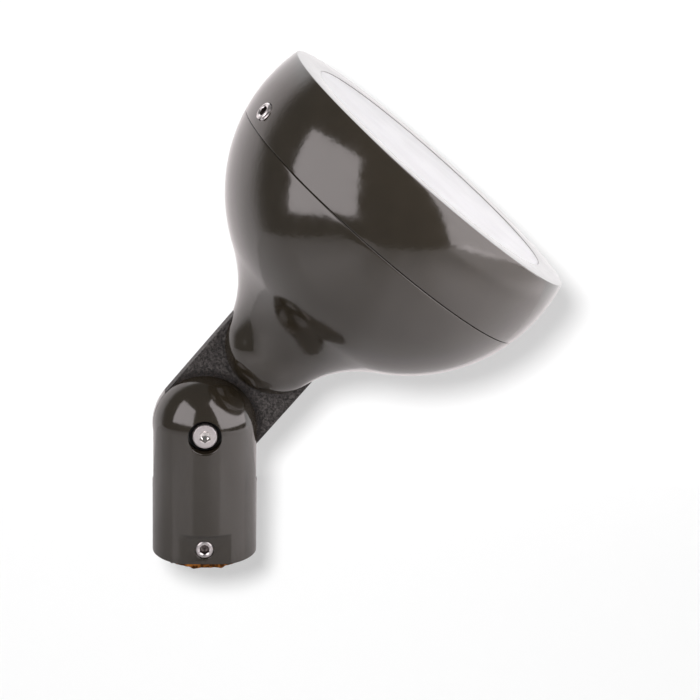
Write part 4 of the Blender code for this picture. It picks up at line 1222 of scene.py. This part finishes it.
# Soft boxes, in millimetres and directions along the photograph's axes
LIGHT_TINT = (1.0, 0.93, 0.945)
LEFT_BOX = {
    "centre": (-295, 171, 383),
    "normal": (0.944, 0.051, -0.327),
    "top": (0.011, 0.982, 0.187),
    "size": (446, 404),
    "radiance": 2.1,
}
RIGHT_BOX = {
    "centre": (189, 151, 136),
    "normal": (-0.9045, -0.303, -0.300),
    "top": (-0.353, 0.927, 0.128),
    "size": (357, 400),
    "radiance": 2.2,
}
SHADOW_LAMP_SHIFT = (-62.0, 62.0)
SHADOW_LAMP_LEVEL = 0.9
SHADOW_LAMP_SIZE = 98.0
WORLD_AMBIENT = 0.35
WORLD_DARK = 0.125


def math_node(owner, operation, one, two):
    """The result of one operation on sockets or numbers."""
    return add_node(owner, "Math", {0: one, 1: two}, operation=operation).outputs[0]


def add_stage(name, edges, place, albedo):
    """A matte stage surface with these edges. Returns it, its material, its shader and its end node."""
    left, right, low, high = edges
    corners = [(left, low, 0), (right, low, 0), (right, high, 0), (left, high, 0)]
    mesh = bpy.data.meshes.new(name)
    mesh.from_pydata(corners, [], [(0, 1, 2, 3)])
    stage = add_object(name, mesh, place)
    stage.visible_shadow = False
    material = bpy.data.materials.new(name)
    material.use_nodes = True
    material.node_tree.nodes.clear()
    matte = add_node(material, "BsdfDiffuse", {"Color": (albedo, albedo, albedo, 1.0)})
    mesh.materials.append(material)
    stage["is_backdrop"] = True
    return stage, material, matte.outputs[0], add_node(material, "OutputMaterial")


def own_place(owner):
    """X and Y of the surface's own coordinates."""
    split = add_node(owner, "SeparateXYZ", {0: place_socket(owner)})
    return split.outputs["X"], split.outputs["Y"]


def mix_value(owner, share, one, two):
    """The first number, with this share of the second."""
    return add_node(owner, "Mix", {0: share, 2: one, 3: two}, data_type="FLOAT").outputs[0]


def mix_over(owner, share, one, two):
    """The first shader, with this share of the second."""
    return add_node(owner, "MixShader", {0: share, 1: one, 2: two}).outputs[0]


def glow_over(owner, under, colour, strength):
    """Adds light of this colour and strength to a shader."""
    glow = add_node(owner, "Emission", {"Color": colour, "Strength": strength})
    return add_node(owner, "AddShader", {0: under, 1: glow.outputs[0]}).outputs[0]


def make_sheet():
    """A pale sheet behind the light, square to the camera, that takes its shadow.

    Reflections see it brighter towards its upper right, and fading out to its left and top. From
    behind it is clear, so that it doesn't hide the light in other views.
    """
    right, up, _ = CAMERA_PLACE
    place = Matrix.Translation(photo_place(right, up, SHEET_DEPTH)) @ SQUARE_TO_CAMERA
    sheet, material, matte, end = add_stage("sheet", SHEET_EDGES, place, SHEET_ALBEDO)
    path = add_node(material, "LightPath").outputs
    seen = math_node(material, "MAXIMUM", path["Is Glossy Ray"], path["Is Transmission Ray"])
    x, y = own_place(material)
    across = span(material, math_node(material, "ADD", x, y), *SHEET_RAMP)
    front = glow_over(material, matte, stops(material, across, *SHEET_STOPS), seen)
    direct = math_node(material, "MULTIPLY", path["Is Camera Ray"], SHEET_GLOW)
    front = glow_over(material, front, (1.0, 1.0, 1.0, 1.0), direct)
    fade = stops(material, distance_from(material, SHEET_MIDDLE), *SHEET_FADE)
    faded = math_node(material, "MULTIPLY", seen, fade)
    behind = add_node(material, "NewGeometry").outputs["Backfacing"]
    clear = add_node(material, "BsdfTransparent").outputs[0]
    shader = mix_over(material, math_node(material, "MAXIMUM", faded, behind), front, clear)
    feed(material, end.inputs["Surface"], shader)
    return sheet


def make_table():
    """The glossy white table that the light stands on, brighter to the right and at the back.

    Only its reflection and its bounced light are seen.
    """
    place = Matrix.Translation((0.0, 0.0, TABLE_HEIGHT))
    table, material, matte, end = add_stage("table_top", TABLE_EDGES, place, TABLE_ALBEDO)
    table.visible_camera = False
    shine = add_node(material, "BsdfAnisotropic", {"Roughness": 0.25})
    edge = add_node(material, "Fresnel", {"IOR": TABLE_IOR})
    coated = mix_over(material, edge.outputs[0], matte, shine.outputs[0])
    x, y = own_place(material)
    across = stops(material, span(material, x, *TABLE_RAMP), *TABLE_STOPS)
    back = math_node(material, "MULTIPLY", span(material, y, *TABLE_BACK_RAMP), TABLE_BACK_GLOW)
    glow = math_node(material, "ADD", across, back)
    seen = add_node(material, "LightPath").outputs["Is Glossy Ray"]
    mirrored = math_node(material, "MULTIPLY", seen, glow)
    feed(material, end.inputs["Surface"], glow_over(material, coated, (*LIGHT_TINT, 1.0), mirrored))
    return table


def facing(normal, top):
    """A rotation whose -Z is the normal, and whose Y is as near as can be to the top."""
    back = -normal.normalized()
    across = top.cross(back).normalized()
    return Matrix((across, back.cross(across), back)).transposed().to_4x4()


def hang_lamp(name, lamp, place, receivers):
    """Hangs a lamp that the camera doesn't see, and that lights only its receivers."""
    panel = add_object(name, lamp, place)
    panel.visible_camera = False
    panel.light_linking.receiver_collection = receivers


def add_soft_box(name, centre, normal, top, size, radiance, receivers):
    """A soft rectangular lamp of this brightness, as the gloss paint mirrors it."""
    lamp = bpy.data.lights.new(name, "AREA")
    lamp.shape = "RECTANGLE"
    lamp.size = size[0] * MM
    lamp.size_y = size[1] * MM
    lamp.energy = radiance * math.pi * lamp.size * lamp.size_y
    lamp.color = LIGHT_TINT
    turn = facing(photo_direction(*normal), photo_direction(*top))
    hang_lamp(name, lamp, Matrix.Translation(photo_place(*centre)) @ turn, receivers)


def add_shadow_lamp(receivers):
    """A lamp by the camera that throws the light's shadow on the sheet."""
    lamp = bpy.data.lights.new("shadow_lamp", "AREA")
    lamp.shape = "DISK"
    lamp.size = SHADOW_LAMP_SIZE * MM
    right, up, toward = CAMERA_PLACE
    reach = (toward - SHEET_DEPTH) * MM
    lamp.energy = (math.pi * reach) ** 2 * SHADOW_LAMP_LEVEL
    centre = photo_place(right + SHADOW_LAMP_SHIFT[0], up + SHADOW_LAMP_SHIFT[1], toward)
    hang_lamp("shadow_lamp", lamp, Matrix.Translation(centre) @ facing(-TOWARD, UP), receivers)


def make_world():
    """White to the camera, a dim room in reflections, and an even fill for the rest."""
    world = bpy.data.worlds.new("world")
    SCENE.world = world
    world.use_nodes = True
    shade = world.node_tree.nodes["Background"]
    shade.inputs["Color"].default_value = (1.0, 1.0, 1.0, 1.0)
    path = add_node(world, "LightPath").outputs
    dim = mix_value(world, path["Is Glossy Ray"], WORLD_AMBIENT, WORLD_DARK)
    direct = math_node(world, "MAXIMUM", path["Is Camera Ray"], path["Is Transmission Ray"])
    feed(world, shade.inputs["Strength"], mix_value(world, direct, dim, 1.0))


def group(name, objects):
    collection = bpy.data.collections.new(name)
    SCENE.collection.children.link(collection)
    for member in objects:
        collection.objects.link(member)
    return collection


make_camera()
make_bushing()
make_knuckle()
make_set_screws()
make_bolt()
make_nut()
make_arm()
make_housing()
make_ring()
make_glass()
make_reflector()
make_light_source()
paint_cad_nodes()
sheet = make_sheet()
table = make_table()
lit = group("lit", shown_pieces() + [table])
add_soft_box("left_box", **LEFT_BOX, receivers=lit)
add_soft_box("right_box", **RIGHT_BOX, receivers=lit)
add_shadow_lamp(group("sheet_only", [sheet]))
make_world()
SCENE.view_settings.view_transform = "Standard"
